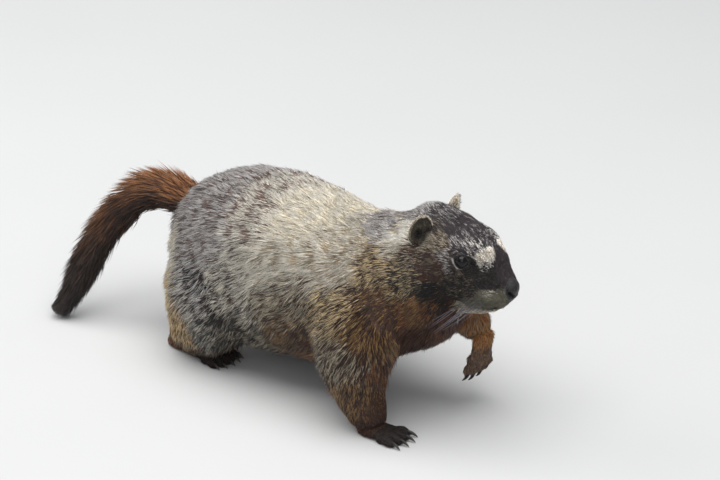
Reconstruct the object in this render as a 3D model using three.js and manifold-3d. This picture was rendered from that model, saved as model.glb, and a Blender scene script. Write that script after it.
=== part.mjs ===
// A yellow-bellied marmot, life size, as a still museum model: it walks with its left forepaw lifted,
// its back arched and its tail hanging in a bow towards its right side.
// Millimetres, +X the way it walks, +Y its left, +Z up. The solids reach out to the tips of the coat.
import * as THREE from "three";
import { ParametricGeometry } from "three/addons/geometries/ParametricGeometry.js";
import { mergeVertices } from "three/addons/utils/BufferGeometryUtils.js";
import Module from "manifold-3d";

const wasm = await Module();
wasm.setup();

const GAP = 0.35; // between any two pieces
const FORWARD = [1, 0, 0];
const LEFT = [0, 1, 0];
const UP = [0, 0, 1];

// Colour and roughness of each kind of surface.
const FINISHES = {
  grizzled: { color: "#8d7a63", roughness: 0.85 },
  rust: { color: "#8a5226", roughness: 0.85 },
  face: { color: "#4b382c", roughness: 0.8 },
  tail: { color: "#3f261a", roughness: 0.85 },
  ear: { color: "#5b4a33", roughness: 0.85 },
  paw: { color: "#3a2a22", roughness: 0.7 },
  nose: { color: "#2e2d2c", roughness: 0.45 },
  eye: { color: "#0b0908", roughness: 0.08 },
};

// How finely a body is faceted: its sides, its rings between two stations, and those of a round end.
const BODY_FACETS = { sides: 22, perInterval: 2, capRings: 4 };
const HEAD_FACETS = { sides: 20, perInterval: 2, capRings: 3 };
const LIMB_FACETS = { sides: 12, perInterval: 2, capRings: 2 };
const TAIL_FACETS = { sides: 12, perInterval: 2, capRings: 2 };
const JAW_FACETS = { sides: 12, perInterval: 1, capRings: 2 };
const PAD_FACETS = { sides: 8, perInterval: 1, capRings: 1 };
const TOE_FACETS = { sides: 6, perInterval: 1, capRings: 1 };
const CLAW_FACETS = { sides: 4, perInterval: 1, capRings: 1 };
const ROUND_FACETS = 10;
const SMALL_FACETS = 8;

// Stations of a body or limb: the centre's x, y and z, then the half width, and the reach towards
// and away from the body's reference direction. The first and last stations are the round ends.
const TORSO = [
  [-187, 0, 98, 36, 34, 36],
  [-167, 0, 97, 51, 50, 54],
  [-128, 0, 96, 75, 70, 74],
  [-80, 0, 95, 82, 77, 82],
  [-30, 0, 96, 80, 75, 78],
  [18, 2, 101, 70, 68, 72],
  [58, 8, 111, 58, 64, 64],
  [90, 14, 124, 49, 63, 60],
  [112, 20, 136, 39, 56, 42],
  [130, 25, 142, 26, 38, 28],
];
const NECK_CUT = { at: [60, 10, 112], facing: [0.9, 0.2, 0.39] };
const HEAD_CUT = { at: [98, 20, 145], facing: [0.9, 0.19, 0.39] };

const TAIL = [
  [-158, 0, 108, 18, 18, 18],
  [-184, -3, 113, 19, 19, 19],
  [-208, -10, 119, 21, 21, 21],
  [-233, -24, 115, 21.5, 21.5, 21.5],
  [-253, -44, 91, 20, 20, 20],
  [-263, -63, 61, 18, 18, 18],
  [-266, -80, 35, 16.5, 16.5, 16.5],
  [-271, -91, 17, 10.5, 10.5, 10.5],
  [-279, -96, 7, 4, 4, 4],
];
const TAIL_CUTS = [
  { at: [-223, -17, 118], facing: [-0.86, -0.44, -0.25] },
  { at: [-259, -54, 75], facing: [-0.3, -0.5, -0.82] },
];

const FORELEG_PLANTED = [
  [66, -10, 132, 12, 16, 16],
  [66, -27, 110, 24, 34, 34],
  [70, -46, 84, 33, 42, 42],
  [76, -52, 58, 31, 36, 37],
  [82, -53, 37, 24, 25, 27],
  [90, -53, 21, 18, 18, 20],
  [97, -53, 10, 14, 15, 15],
  [101, -53, 3, 10, 11, 11],
];
const FORELEG_LIFTED = [
  [54, 16, 124, 12, 14, 14],
  [58, 36, 103, 24, 26, 32],
  [74, 54, 85, 21, 23, 25],
  [97, 58, 77, 17, 18, 17],
  [114, 60, 72, 13.5, 15, 14],
  [123, 60, 66, 10, 10, 11],
];
const HINDLEG = [
  [-100, -12, 130, 14, 22, 22],
  [-99, -34, 107, 31, 46, 42],
  [-104, -56, 77, 36, 53, 50],
  [-113, -59, 50, 31, 47, 46],
  [-126, -58, 30, 24, 34, 34],
  [-136, -57, 16, 17, 22, 22],
  [-139, -56, 7, 12, 14, 14],
];
const HIND_STRIDE = 44; // how far the left hind foot is ahead of the right one
const HIP_LEAN = 30; // degrees outwards that the planes lean which part the hind legs from the hips

// A paw lies along its own +X with its sole at z = 0. heel and ball are places along it, and each
// toe has a place across it, from -1 to 1. press is how deep the pads are flattened by the floor.
const FOREPAW = {
  heel: -12,
  ball: 14,
  halfWidth: 13,
  height: 12,
  toes: [-1, -0.36, 0.3, 0.92],
  toeLength: 16,
  toeRadius: 4.2,
  claw: 11,
  press: 0.7,
};
const HINDPAW = {
  ...FOREPAW,
  heel: -14,
  ball: 36,
  halfWidth: 14,
  height: 13,
  toes: [-1, -0.52, 0, 0.5, 0.98],
  toeLength: 17,
  claw: 10,
};
const TOE_SPREAD = 0.22; // radians that the outermost toes turn out, and the share that they are shorter
const PAW_PLACES = {
  forepaw_right: { at: [103, -53, 0], yaw: 14 },
  forepaw_left: { at: [114, 60, 54], yaw: 4, pitch: 96 },
  hindpaw_right: { at: [-141, -55, 0], yaw: 4 },
  hindpaw_left: { at: [-97, 55, 0], yaw: -6 },
};
const HANGING_CURL = 0.15; // how far the lifted paw's toes bend, as a share of their length

// The head is built about its own centre, nose along its own +X, and then set on the neck.
const HEAD_PLACE = { at: [110, 23.5, 157], yaw: 12, pitch: 15 };
const HEAD = [
  [-46, 0, -2, 20, 20, 22],
  [-28, 0, -2, 33, 33, 37],
  [-10, 0, -3, 37, 37, 41],
  [8, 0, -4, 36, 37, 41],
  [24, 0, -6, 31, 37, 39],
  [40, 0, -9, 24.5, 35, 33],
  [54, 0, -12, 20, 29, 23],
  [66, 0, -11, 17.5, 20, 15.5],
  [76, 0, -7, 12, 9, 10],
];
// Soft swellings on each side of the head, and a hollow where the height is below zero.
const CHEEK = { at: [6, 30, -22], size: 20, height: 4 };
const BROW = { at: [32, 20, 20], size: 13, height: 4.5 };
const MUZZLE_HOLLOW = { at: [45, 20, 2], size: 10, height: -2 };
const WHISKER_PAD = { at: [60, 14, -20], size: 10, height: 2 };
const JAW = [
  [14, 0, -36, 13, 8, 10],
  [20, 0, -37, 16, 9, 12],
  [29, 0, -37, 14, 9, 12],
  [39, 0, -35, 12, 8, 11],
  [52, 0, -31, 9.5, 6, 8],
  [62, 0, -29, 5, 5, 5],
];
const EYE = { at: [29, 23.8, 12.3], size: [6.6, 6.6, 6.6] };
const EAR = { at: [-14, 28, 20], size: [6, 10, 14.5], tilt: -10, turn: 38, wall: 2.6 };
const NOSE = { at: [70, 0, -3], size: [7.5, 9, 9] };
const NOSTRIL = { at: [75.5, 5, -6], size: [3, 2.2, 1.8], turn: 30 };

const SAME_POINT = 1e-3;

// The closed solid of a geometry: equal points are merged, and triangles with no area dropped.
function solidOf(geometry) {
  const bare = geometry.clone();
  bare.deleteAttribute("normal");
  bare.deleteAttribute("uv");
  const merged = mergeVertices(bare, SAME_POINT);
  const corners = merged.index.array;
  const kept = [];
  for (let i = 0; i < corners.length; i += 3) {
    const [a, b, c] = corners.slice(i, i + 3);
    if (a !== b && b !== c && a !== c) kept.push(a, b, c);
  }
  const mesh = new wasm.Mesh({
    numProp: 3,
    vertProperties: merged.attributes.position.array,
    triVerts: new Uint32Array(kept),
  });
  return new wasm.Manifold(mesh);
}

// A solid's surface as a geometry.
function geometryOf(solid) {
  const { numProp, vertProperties, triVerts } = solid.getMesh();
  const points = [];
  for (let i = 0; i < vertProperties.length; i += numProp) {
    points.push(...vertProperties.slice(i, i + 3));
  }
  const geometry = new THREE.BufferGeometry();
  geometry.setAttribute("position", new THREE.Float32BufferAttribute(points, 3));
  geometry.setIndex([...triVerts]);
  geometry.computeVertexNormals();
  return geometry;
}

// Where each ring of a loft lies on its spine, from 0 to 1, and its size as a share of the full one:
// over the first and last intervals the rings follow a quarter circle down to a point.
function ringsOf(intervals, { perInterval, capRings }) {
  const quarter = [];
  for (let i = 0; i <= capRings; i++) {
    const angle = (i / capRings) * (Math.PI / 2);
    quarter.push([(1 - Math.cos(angle)) / intervals, Math.sin(angle)]);
  }
  const middle = [];
  for (let i = 1; i < (intervals - 2) * perInterval; i++) {
    middle.push([(1 + i / perInterval) / intervals, 1]);
  }
  const ending = quarter.map(([place, share]) => [1 - place, share]).reverse();
  return [...quarter, ...middle, ...ending];
}

// A closed body whose sections follow a smooth spine through its stations. Each section is
// made of two half ellipses. grow swells it by that much all round, to cut its place in a neighbour.
function loft(stations, reference, facets, { grow = 0, bumps = [] } = {}) {
  const curveOf = (first) => {
    const points = stations.map((station) => new THREE.Vector3(...station.slice(first, first + 3)));
    return new THREE.CatmullRomCurve3(points, false, "catmullrom");
  };
  const spine = curveOf(0);
  const reaches = curveOf(3);
  const rings = ringsOf(stations.length - 1, facets);
  const surface = (u, v, target) => {
    const [place, share] = rings[Math.round(v * (rings.length - 1))];
    const along = spine.getTangent(place);
    const side = new THREE.Vector3().crossVectors(new THREE.Vector3(...reference), along).normalize();
    const up = new THREE.Vector3().crossVectors(along, side);
    const reach = reaches.getPoint(place);
    const angle = -2 * Math.PI * u;
    const towards = Math.cos(angle);
    const across = Math.sin(angle);
    target.copy(spine.getPoint(place));
    target.addScaledVector(side, across * (reach.x + grow) * share);
    target.addScaledVector(up, towards * ((towards > 0 ? reach.y : reach.z) + grow) * share);
    if (share === 0) target.addScaledVector(along, place < 0.5 ? -grow : grow);
    const out = new THREE.Vector3().addScaledVector(side, across).addScaledVector(up, towards);
    for (const { at, size, height } of bumps) {
      const far = target.distanceTo(new THREE.Vector3(...at)) / size;
      target.addScaledVector(out, share * height * Math.exp(-far * far));
    }
  };
  return solidOf(new ParametricGeometry(surface, facets.sides, rings.length - 1));
}

// Where a piece is set: moved to a point, and turned by angles in degrees about +Z, +Y and +X.
function placeOf({ at, yaw = 0, pitch = 0, roll = 0 }, size = [1, 1, 1]) {
  const turned = new THREE.Euler(...[roll, pitch, yaw].map(THREE.MathUtils.degToRad), "ZYX");
  const turn = new THREE.Quaternion().setFromEuler(turned);
  return new THREE.Matrix4().compose(new THREE.Vector3(...at), turn, new THREE.Vector3(...size));
}

// An ellipsoid with the given half sizes.
function ellipsoid(place, size, facets, grow = 0) {
  const sphere = new THREE.SphereGeometry(1, facets, Math.round(facets * 0.7));
  return solidOf(sphere.applyMatrix4(placeOf(place, size.map((half) => half + grow))));
}

const moved = (solid, matrix) => solidOf(geometryOf(solid).applyMatrix4(matrix));
const joined = (solids) => solids.reduce((first, second) => first.add(second));
const acrossBody = ([x, y, ...rest]) => [x, -y, ...rest];
const onSide = ([x, y, z], side) => [x, y * side, z];

// The two sides of a plane, with the gap between them: [behind, ahead].
function parted(solid, { at, facing }) {
  const normal = new THREE.Vector3(...facing).normalize();
  const offset = normal.dot(new THREE.Vector3(...at));
  const ahead = solid.trimByPlane(normal.toArray(), offset + GAP / 2);
  const behind = solid.trimByPlane(normal.negate().toArray(), GAP / 2 - offset);
  return [behind, ahead];
}

// What lies under the floor comes off, which leaves the flats that the animal stands on.
const onTheFloor = (solid) => solid.trimByPlane(UP, 0);

// The pad of a paw: broad at the ball, narrow at the heel.
function pad({ heel, ball, halfWidth, height, press }, grow) {
  const centre = height / 2 - press;
  const stations = [
    [heel - 6, 0, centre, 6, 6, 4],
    [heel, 0, centre, halfWidth * 0.72, height * 0.55, height / 2],
    [(heel + ball) / 2, 0, centre, halfWidth * 0.85, height / 2, height / 2],
    [ball, 0, height * 0.42 - press, halfWidth, height * 0.4, height * 0.42],
    [ball + 6, 0, height * 0.36, halfWidth * 0.8, 4, 4],
  ];
  return loft(stations, UP, PAD_FACETS, { grow });
}

// One toe with its claw. place is its place across the paw, from -1 to 1.
function toe({ ball, halfWidth, toeLength, toeRadius, claw, press }, place, curl, grow) {
  const turn = place * TOE_SPREAD;
  const reach = toeLength * (1 - TOE_SPREAD * place * place);
  const root = [ball - 4, place * (halfWidth - toeRadius * 0.7), toeRadius - press];
  const at = (far, drop) => {
    const bend = curl * Math.min(far, reach) ** 2 / reach;
    return [root[0] + far * Math.cos(turn), root[1] + far * Math.sin(turn), root[2] - drop - bend];
  };
  const knuckle = reach * 0.6;
  const flesh = [
    [...at(-3, 0), 2, 2, 2],
    [...at(2, 0), toeRadius, toeRadius, toeRadius],
    [...at(knuckle, -0.6), toeRadius * 0.95, toeRadius * 1.05, toeRadius],
    [...at(reach, 0), toeRadius * 0.85, toeRadius * 0.85, toeRadius],
    [...at(reach + 4, 1), 2, 2, 2],
  ];
  const nail = [
    [...at(reach - 2, 0), 1.2, 1.2, 1.2],
    [...at(reach + 2, 0), 1.8, 2, 1.8],
    [...at(reach + claw * 0.6, 0.8 + curl * 4), 1.3, 1.4, 1.2],
    [...at(reach + claw, 2.4 + curl * 7), 0.5, 0.5, 0.5],
  ];
  return loft(flesh, UP, TOE_FACETS, { grow }).add(loft(nail, UP, CLAW_FACETS, { grow }));
}

// A whole paw in its place. The left ones are the right ones' mirror images.
function paw(name, grow = 0) {
  const form = name.startsWith("fore") ? FOREPAW : HINDPAW;
  const side = name.endsWith("left") ? -1 : 1;
  const curl = name === "forepaw_left" ? HANGING_CURL : 0;
  const toes = form.toes.map((place) => toe(form, place * side, curl, grow));
  return moved(joined([pad(form, grow), ...toes]), placeOf(PAW_PLACES[name]));
}

// The four legs, from shoulder or hip to wrist or heel. What lies deep in the hips belongs to the trunk.
function leg(name, grow = 0) {
  const strideForward = ([x, ...rest]) => [x + HIND_STRIDE, ...rest];
  const forms = {
    foreleg_right: [FORELEG_PLANTED, FORWARD],
    foreleg_left: [FORELEG_LIFTED, UP],
    hindleg_right: [HINDLEG, FORWARD],
    hindleg_left: [HINDLEG.map(acrossBody).map(strideForward), FORWARD],
  };
  const whole = loft(...forms[name], LIMB_FACETS, { grow });
  if (name.startsWith("fore")) return whole;
  const lean = THREE.MathUtils.degToRad(HIP_LEAN);
  const outwards = onSide([0, Math.cos(lean), -Math.sin(lean)], name.endsWith("left") ? 1 : -1);
  return whole.trimByPlane(outwards, -grow);
}

// The head's own form, with its brows, cheeks and whisker pads, in the head's own frame.
function skull() {
  const oneSide = [CHEEK, BROW, MUZZLE_HOLLOW, WHISKER_PAD];
  const bumps = [1, -1].flatMap((side) => oneSide.map((bump) => ({ ...bump, at: onSide(bump.at, side) })));
  return loft(HEAD, UP, HEAD_FACETS, { bumps });
}

const eye = (side, grow = 0) => ellipsoid({ at: onSide(EYE.at, side) }, EYE.size, ROUND_FACETS, grow);
const jaw = (grow = 0) => loft(JAW, UP, JAW_FACETS, { grow });
const noseBall = (grow = 0) => ellipsoid(NOSE, NOSE.size, ROUND_FACETS, grow);

// The nose pad with its two nostrils.
function nose() {
  const nostril = (side) => {
    const place = { at: onSide(NOSTRIL.at, side), yaw: NOSTRIL.turn * side };
    return ellipsoid(place, NOSTRIL.size, SMALL_FACETS);
  };
  return noseBall().subtract(nostril(1)).subtract(nostril(-1));
}

// The outside of a round upright ear.
const earShell = (side, grow = 0) => {
  const place = { at: onSide(EAR.at, side), yaw: EAR.turn * side, pitch: EAR.tilt };
  return ellipsoid(place, EAR.size, ROUND_FACETS, grow);
};

// The ear, a cup that opens forwards and outwards.
function ear(side) {
  const turn = THREE.MathUtils.degToRad(EAR.turn * side);
  const depth = EAR.size[0] * 0.9;
  const at = onSide(EAR.at, side);
  const mouth = [at[0] + depth * Math.cos(turn), at[1] + depth * Math.sin(turn), at[2]];
  const hollow = EAR.size.map((half) => half - EAR.wall);
  const place = { at: mouth, yaw: EAR.turn * side, pitch: EAR.tilt };
  return earShell(side).subtract(ellipsoid(place, hollow, SMALL_FACETS));
}

// What the head's flesh leaves room for.
function headRooms() {
  return joined([1, -1].flatMap((side) => [eye(side, GAP), earShell(side, GAP)]))
    .add(noseBall(GAP))
    .add(jaw(GAP));
}

function build() {
  const group = new THREE.Group();
  const headGroup = new THREE.Group();
  const add = (parent, name, solid, finish) => {
    const material = new THREE.MeshStandardMaterial({ metalness: 0, ...FINISHES[finish] });
    const mesh = new THREE.Mesh(geometryOf(solid), material);
    mesh.name = name;
    parent.add(mesh);
  };

  const legNames = ["foreleg_right", "foreleg_left", "hindleg_right", "hindleg_left"];
  for (const name of legNames) {
    const pawName = name.replace("leg", "paw");
    add(group, name, onTheFloor(leg(name).subtract(paw(pawName, GAP))), "rust");
    add(group, pawName, onTheFloor(paw(pawName)), "paw");
  }

  const tail = loft(TAIL, LEFT, TAIL_FACETS);
  const [tailBase, tailRest] = parted(tail, TAIL_CUTS[0]);
  const [tailMiddle, tailTip] = parted(tailRest, TAIL_CUTS[1]);
  add(group, "tail_base", tailBase, "tail");
  add(group, "tail_middle", tailMiddle, "tail");
  add(group, "tail_tip", tailTip, "tail");

  const headPlace = placeOf(HEAD_PLACE);
  const legRooms = joined(legNames.map((name) => leg(name, GAP)));
  const body = loft(TORSO, UP, BODY_FACETS).add(moved(skull(), headPlace)).subtract(legRooms);
  const [trunk, front] = parted(body, NECK_CUT);
  const [neck, head] = parted(front, HEAD_CUT);
  add(group, "trunk", trunk.subtract(loft(TAIL, LEFT, TAIL_FACETS, { grow: GAP })), "grizzled");
  add(group, "neck", neck, "grizzled");

  headGroup.applyMatrix4(headPlace);
  add(headGroup, "head", moved(head, headPlace.clone().invert()).subtract(headRooms()), "face");
  add(headGroup, "jaw", jaw(), "face");
  add(headGroup, "nose", nose(), "nose");
  for (const [name, side] of Object.entries({ left: 1, right: -1 })) {
    add(headGroup, `ear_${name}`, ear(side), "ear");
    add(headGroup, `eye_${name}`, eye(side), "eye");
  }
  group.add(headGroup);

  // The origin is under the middle of the animal, on the floor.
  group.updateMatrixWorld(true);
  const middle = new THREE.Box3().setFromObject(group, true).getCenter(new THREE.Vector3());
  group.position.set(-middle.x, -middle.y, 0);
  return group;
}

export default build();
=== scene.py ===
"""A yellow-bellied marmot, life size, as a still museum model.

One skin replaces the flesh of the frame. It lies inside the frame by the depth of the coat, and
carries folds, lids, nostrils and lips. The coat is solid mesh: thin tufts that follow the lie of
the fur, in lengthwise bands. Eyes, claws and whiskers are pieces of their own.
Sizes are in millimetres in the body's own measure, until a mesh is made.
"""
from collections import namedtuple

import bmesh
import bpy
import numpy as np
from bpy.props import FloatProperty, FloatVectorProperty, IntProperty, PointerProperty
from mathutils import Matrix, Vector


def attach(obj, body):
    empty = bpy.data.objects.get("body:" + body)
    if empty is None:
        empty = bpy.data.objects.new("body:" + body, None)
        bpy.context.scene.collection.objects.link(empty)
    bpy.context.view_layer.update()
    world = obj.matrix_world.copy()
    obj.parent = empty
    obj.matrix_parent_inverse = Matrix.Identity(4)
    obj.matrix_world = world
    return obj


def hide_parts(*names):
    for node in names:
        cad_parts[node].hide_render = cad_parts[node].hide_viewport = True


bl_info = {
    "name": "Yellow-bellied marmot",
    "version": (1, 0, 0),
    "blender": (4, 5, 0),
    "location": "3D View > Sidebar > Marmot",
    "description": "Builds the marmot's skin, coat, eyes, claws and whiskers around its frame",
    "category": "Add Mesh",
}

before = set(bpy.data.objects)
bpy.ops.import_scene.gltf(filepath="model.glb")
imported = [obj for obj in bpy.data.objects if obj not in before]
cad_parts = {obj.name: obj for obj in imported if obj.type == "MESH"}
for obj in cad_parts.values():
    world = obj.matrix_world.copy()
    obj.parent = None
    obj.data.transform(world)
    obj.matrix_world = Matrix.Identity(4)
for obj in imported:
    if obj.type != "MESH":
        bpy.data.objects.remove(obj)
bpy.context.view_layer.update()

MM = 0.001
BODY_SHIFT = np.array((49.78, 3.58, 0.0))  # from the body's own measuring point to the frame's origin
BODY = "root"
RIGHT, LEFT = -1, 1


# Colours

def linear(hex_colour):
    """The linear colour of a screen colour such as "#8d7a63": each part goes through the sRGB curve."""
    parts = np.array([int(hex_colour[i:i + 2], 16) for i in (1, 3, 5)]) / 255
    curve = np.where(parts <= 0.04045, parts / 12.92, ((parts + 0.055) / 1.055) ** 2.4)
    return tuple(float(part) for part in curve)


PIGMENTS = {
    "cream": ("Cream hair tips", "#eee7d8"),
    "white": ("White patches before the eyes", "#f5f1e8"),
    "frost": ("Cool pale tips of the back and crown", "#d6d1cd"),
    "straw": ("Saddle and buff edges", "#c9bda4"),
    "sand": ("Dull buff", "#9a8a72"),
    "gold": ("Golden buff of the shoulder", "#ac8652"),
    "honey": ("Golden tips of the haunches", "#ecd3a4"),
    "ginger": ("Bright rusty tips", "#a06b3e"),
    "rust": ("Rusty under colour", "#6f4429"),
    "bister": ("Deep reddish brown", "#43291b"),
    "umber": ("Mauve brown of the rump", "#6b564c"),
    "taupe": ("Grey brown of the neck", "#7a6e66"),
    "dusk": ("Dark grey brown of the flanks", "#3b312a"),
    "soot": ("Near black brown", "#211a17"),
    "plum": ("Dark purplish brown of the crown", "#33272b"),
    "slate": ("Grey skin and short grey hair", "#55534f"),
    "olive": ("Olive grey of the lips", "#77735f"),
    "coal": ("Black", "#0d0b0b"),
}


# Where the head is, and the measure that its own places are given in

HEAD_AT = np.array((110.0, 23.5, 157.0))
HEAD_YAW, HEAD_PITCH = 12, 15


def turning(yaw, pitch):
    """The matrix that turns by pitch about +Y, then by yaw about +Z, in degrees."""
    angles = np.radians((yaw, pitch))
    (cz, cy), (sz, sy) = np.cos(angles), np.sin(angles)
    about_z = np.array(((cz, -sz, 0), (sz, cz, 0), (0, 0, 1)))
    about_y = np.array(((cy, 0, sy), (0, 1, 0), (-sy, 0, cy)))
    return about_z @ about_y


HEAD_TURN = turning(HEAD_YAW, HEAD_PITCH)


def from_head(points):
    """Places in the head's measure (nose along +X, left +Y) as places in the body's."""
    return np.asarray(points, float) @ HEAD_TURN.T + HEAD_AT


def to_head(points):
    """Places in the body's measure as places in the head's."""
    return (np.asarray(points, float) - HEAD_AT) @ HEAD_TURN


def mirrored(place, side):
    return (place[0], place[1] * side, place[2])


# How the coat grows at named places: the place and how far its influence reaches, then the
# tufts' length and width, the angle they lift by, how densely they stand, and their lie.
# Rows of the sides are the left side's, rows of a hind leg are the right one's, and rows of the
# head are in its own measure.

COAT_OF_MIDLINE = {
    "rump_top": ((-152, 0, 156), 40, 20, 1.17, 20, 1.0, (-1, 0, -0.4)),
    "back": ((-80, 0, 172), 48, 19, 1.17, 20, 1.0, (-1, 0, -0.12)),
    "saddle": ((0, 4, 167), 42, 18, 1.09, 19, 1.0, (-1, 0, -0.06)),
    "withers": ((52, 8, 172), 32, 19, 1.01, 19, 1.0, (-1, -0.1, -0.1)),
    "nape": ((88, 17, 184), 22, 12, 0.86, 16, 1.1, (-1, -0.2, -0.05)),
    "rump_end": ((-188, 0, 95), 38, 21, 1.17, 26, 1.0, (-0.5, 0, -1)),
    "belly_rear": ((-110, 0, 22), 45, 18, 1.25, 14, 0.8, (-1, 0, -0.1)),
    "belly": ((-25, 0, 22), 48, 18, 1.25, 14, 0.8, (-1, 0, -0.1)),
    "breast": ((55, 2, 48), 36, 17, 1.17, 18, 0.9, (-0.8, 0, -0.5)),
    "throat": ((114, 22, 84), 30, 15, 1.01, 18, 1.0, (-0.5, 0, -0.9)),
}
COAT_OF_SIDES = {
    "hip": ((-132, 68, 112), 38, 21, 1.17, 19, 1.0, (-0.85, 0, -0.65)),
    "flank": ((-55, 80, 108), 44, 22, 1.17, 20, 1.0, (-0.8, 0, -0.75)),
    "ribs": ((15, 68, 112), 36, 20, 1.09, 19, 1.0, (-0.8, 0, -0.7)),
    "flank_low": ((-45, 68, 52), 36, 23, 1.17, 22, 1.0, (-0.85, 0, -0.65)),
    "ribs_low": ((25, 55, 58), 34, 21, 1.17, 20, 1.0, (-0.85, 0, -0.6)),
}
COAT_OF_FRONT = {
    "neck_right": ((92, -28, 144), 24, 14, 0.94, 17, 1.1, (-0.8, -0.1, -0.6)),
    "neck_left": ((78, 54, 142), 24, 14, 0.94, 17, 1.1, (-0.9, 0.1, -0.55)),
    "shoulder_right": ((68, -62, 108), 28, 18, 1.09, 17, 1.0, (-0.45, 0, -0.9)),
    "upper_foreleg_right": ((74, -84, 78), 26, 16, 1.09, 15, 1.0, (-0.35, 0, -1)),
    "forearm_right": ((84, -68, 44), 20, 11, 0.94, 13, 1.1, (-0.1, 0, -1)),
    "wrist_right": ((96, -53, 19), 15, 6, 0.78, 12, 1.3, (0.4, 0, -1)),
    "upper_foreleg_left": ((62, 58, 106), 26, 15, 1.09, 15, 1.0, (0.2, 0.1, -1)),
    "forearm_left": ((92, 66, 82), 20, 11, 0.94, 13, 1.1, (0.8, 0, -0.6)),
    "wrist_left": ((116, 60, 70), 14, 6, 0.78, 12, 1.3, (0.6, 0, -0.9)),
}
COAT_OF_HIND_LEG = {
    "thigh": ((-112, -90, 88), 30, 20, 1.17, 18, 1.0, (-0.6, 0, -0.9)),
    "shank": ((-120, -82, 46), 26, 17, 1.09, 18, 1.0, (-0.35, 0, -1)),
    "heel": ((-140, -58, 16), 17, 9, 0.86, 14, 1.2, (0.2, 0, -1)),
}
COAT_OF_PAWS_AND_TAIL = {
    "hindpaw_right": ((-112, -53, 7), 20, 3.2, 0.6, 9, 1.4, (1, 0, -0.15)),
    "hindpaw_left": ((-68, 52, 7), 20, 3.2, 0.6, 9, 1.4, (1, 0, -0.15)),
    "forepaw_right": ((118, -50, 7), 16, 3, 0.55, 9, 1.5, (1, 0.2, -0.2)),
    "forepaw_left": ((118, 60, 46), 18, 3.2, 0.58, 9, 1.5, (0, 0, -1)),
    "tail_root": ((-184, -3, 113), 16, 20, 1.01, 20, 1.0, (-1, -0.1, 0.1)),
}
COAT_OF_HEAD_MIDLINE = {
    "crown": ((-18, 0, 34), 20, 9, 0.7, 15, 1.3, (-1, 0, 0.1)),
    "forehead": ((18, 0, 31), 16, 7, 0.62, 14, 1.5, (-1, 0, 0.3)),
    "bridge": ((46, 0, 21), 12, 4.6, 0.55, 14, 1.8, (-1, 0, 0.4)),
    "nose_top": ((62, 0, 9), 9, 2.6, 0.47, 13, 2.2, (-1, 0, 0.5)),
    "chin": ((52, 0, -40), 12, 4.2, 0.6, 14, 1.6, (-1, 0, -0.15)),
    "gullet": ((10, 0, -46), 24, 12, 0.86, 18, 1.2, (-0.7, 0, -0.7)),
}
COAT_OF_HEAD_SIDES = {
    "temple": ((2, 30, 18), 15, 8, 0.7, 15, 1.4, (-1, 0.1, -0.1)),
    "behind_ear": ((-30, 30, 8), 18, 12, 0.78, 18, 1.2, (-1, 0.1, -0.4)),
    "cheek": ((6, 40, -8), 17, 10, 0.78, 16, 1.3, (-1, 0.15, -0.35)),
    "jowl": ((4, 38, -30), 18, 12, 0.86, 18, 1.2, (-0.9, 0.1, -0.6)),
    "under_eye": ((34, 27, -4), 12, 6.5, 0.62, 13, 1.6, (-1, 0.1, -0.2)),
    "muzzle_side": ((52, 18, 2), 9, 4, 0.51, 13, 2.0, (-1, 0.15, 0.05)),
    "whisker_pad": ((62, 15, -17), 9, 3.0, 0.48, 12, 2.1, (-1, 0.3, -0.1)),
    "lip": ((44, 15, -30), 9, 4.2, 0.55, 13, 1.8, (-1, 0.1, -0.2)),
}

# Which band of the coat each place belongs to, and how many tufts the band has.

BANDS = {
    "back": (27000, ("rump_top", "back", "saddle", "withers", "nape")),
    "flank_right": (30000, ("hip_right", "flank_right", "ribs_right", "neck_right")),
    "flank_left": (24000, ("hip_left", "flank_left", "ribs_left", "neck_left")),
    "low_right": (17000, ("flank_low_right", "ribs_low_right")),
    "low_left": (13000, ("flank_low_left", "ribs_low_left")),
    "belly": (17000, ("rump_end", "belly_rear", "belly", "breast", "throat", "tail_root")),
    "forelegs": (21000, ("shoulder_right", "upper_foreleg_right", "forearm_right", "wrist_right",
                         "upper_foreleg_left", "forearm_left", "wrist_left", "forepaw_right",
                         "forepaw_left")),
    "hindlegs": (22000, ("thigh_right", "shank_right", "heel_right", "thigh_left", "shank_left",
                         "heel_left", "hindpaw_right", "hindpaw_left")),
    "head_right": (30000, ("crown_right", "forehead_right")),
    "head_left": (24000, ("crown_left", "forehead_left")),
}
TAIL_TUFTS = 8200

# What colour the coat is at named places: the place and its reach, the colour of the lower hair and
# of the pale tips, and the share of tufts that have such tips.

PAINT_OF_MIDLINE = {
    "rump_top": ((-150, 0, 158), 34, "umber", "frost", 0.7),
    "back_rear": ((-105, 0, 171), 34, "umber", "frost", 0.75),
    "back": ((-60, 0, 173), 28, "umber", "cream", 0.85),
    "saddle": ((-22, 0, 168), 30, "straw", "cream", 1.0),
    "saddle_front": ((22, 6, 168), 26, "straw", "cream", 0.9),
    "withers": ((58, 12, 176), 20, "taupe", "frost", 0.8),
    "nape": ((90, 20, 188), 16, "taupe", "frost", 0.75),
    "rump_end": ((-190, 0, 108), 26, "sand", "straw", 0.9),
    "under_tail": ((-186, 0, 66), 26, "umber", "straw", 0.8),
    "belly_rear": ((-110, 0, 22), 40, "rust", "ginger", 0.6),
    "belly": ((-25, 0, 20), 42, "rust", "ginger", 0.6),
    "breast": ((62, 2, 46), 34, "bister", "ginger", 0.45),
    "throat": ((120, 16, 90), 26, "bister", "rust", 0.55),
}
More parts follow.
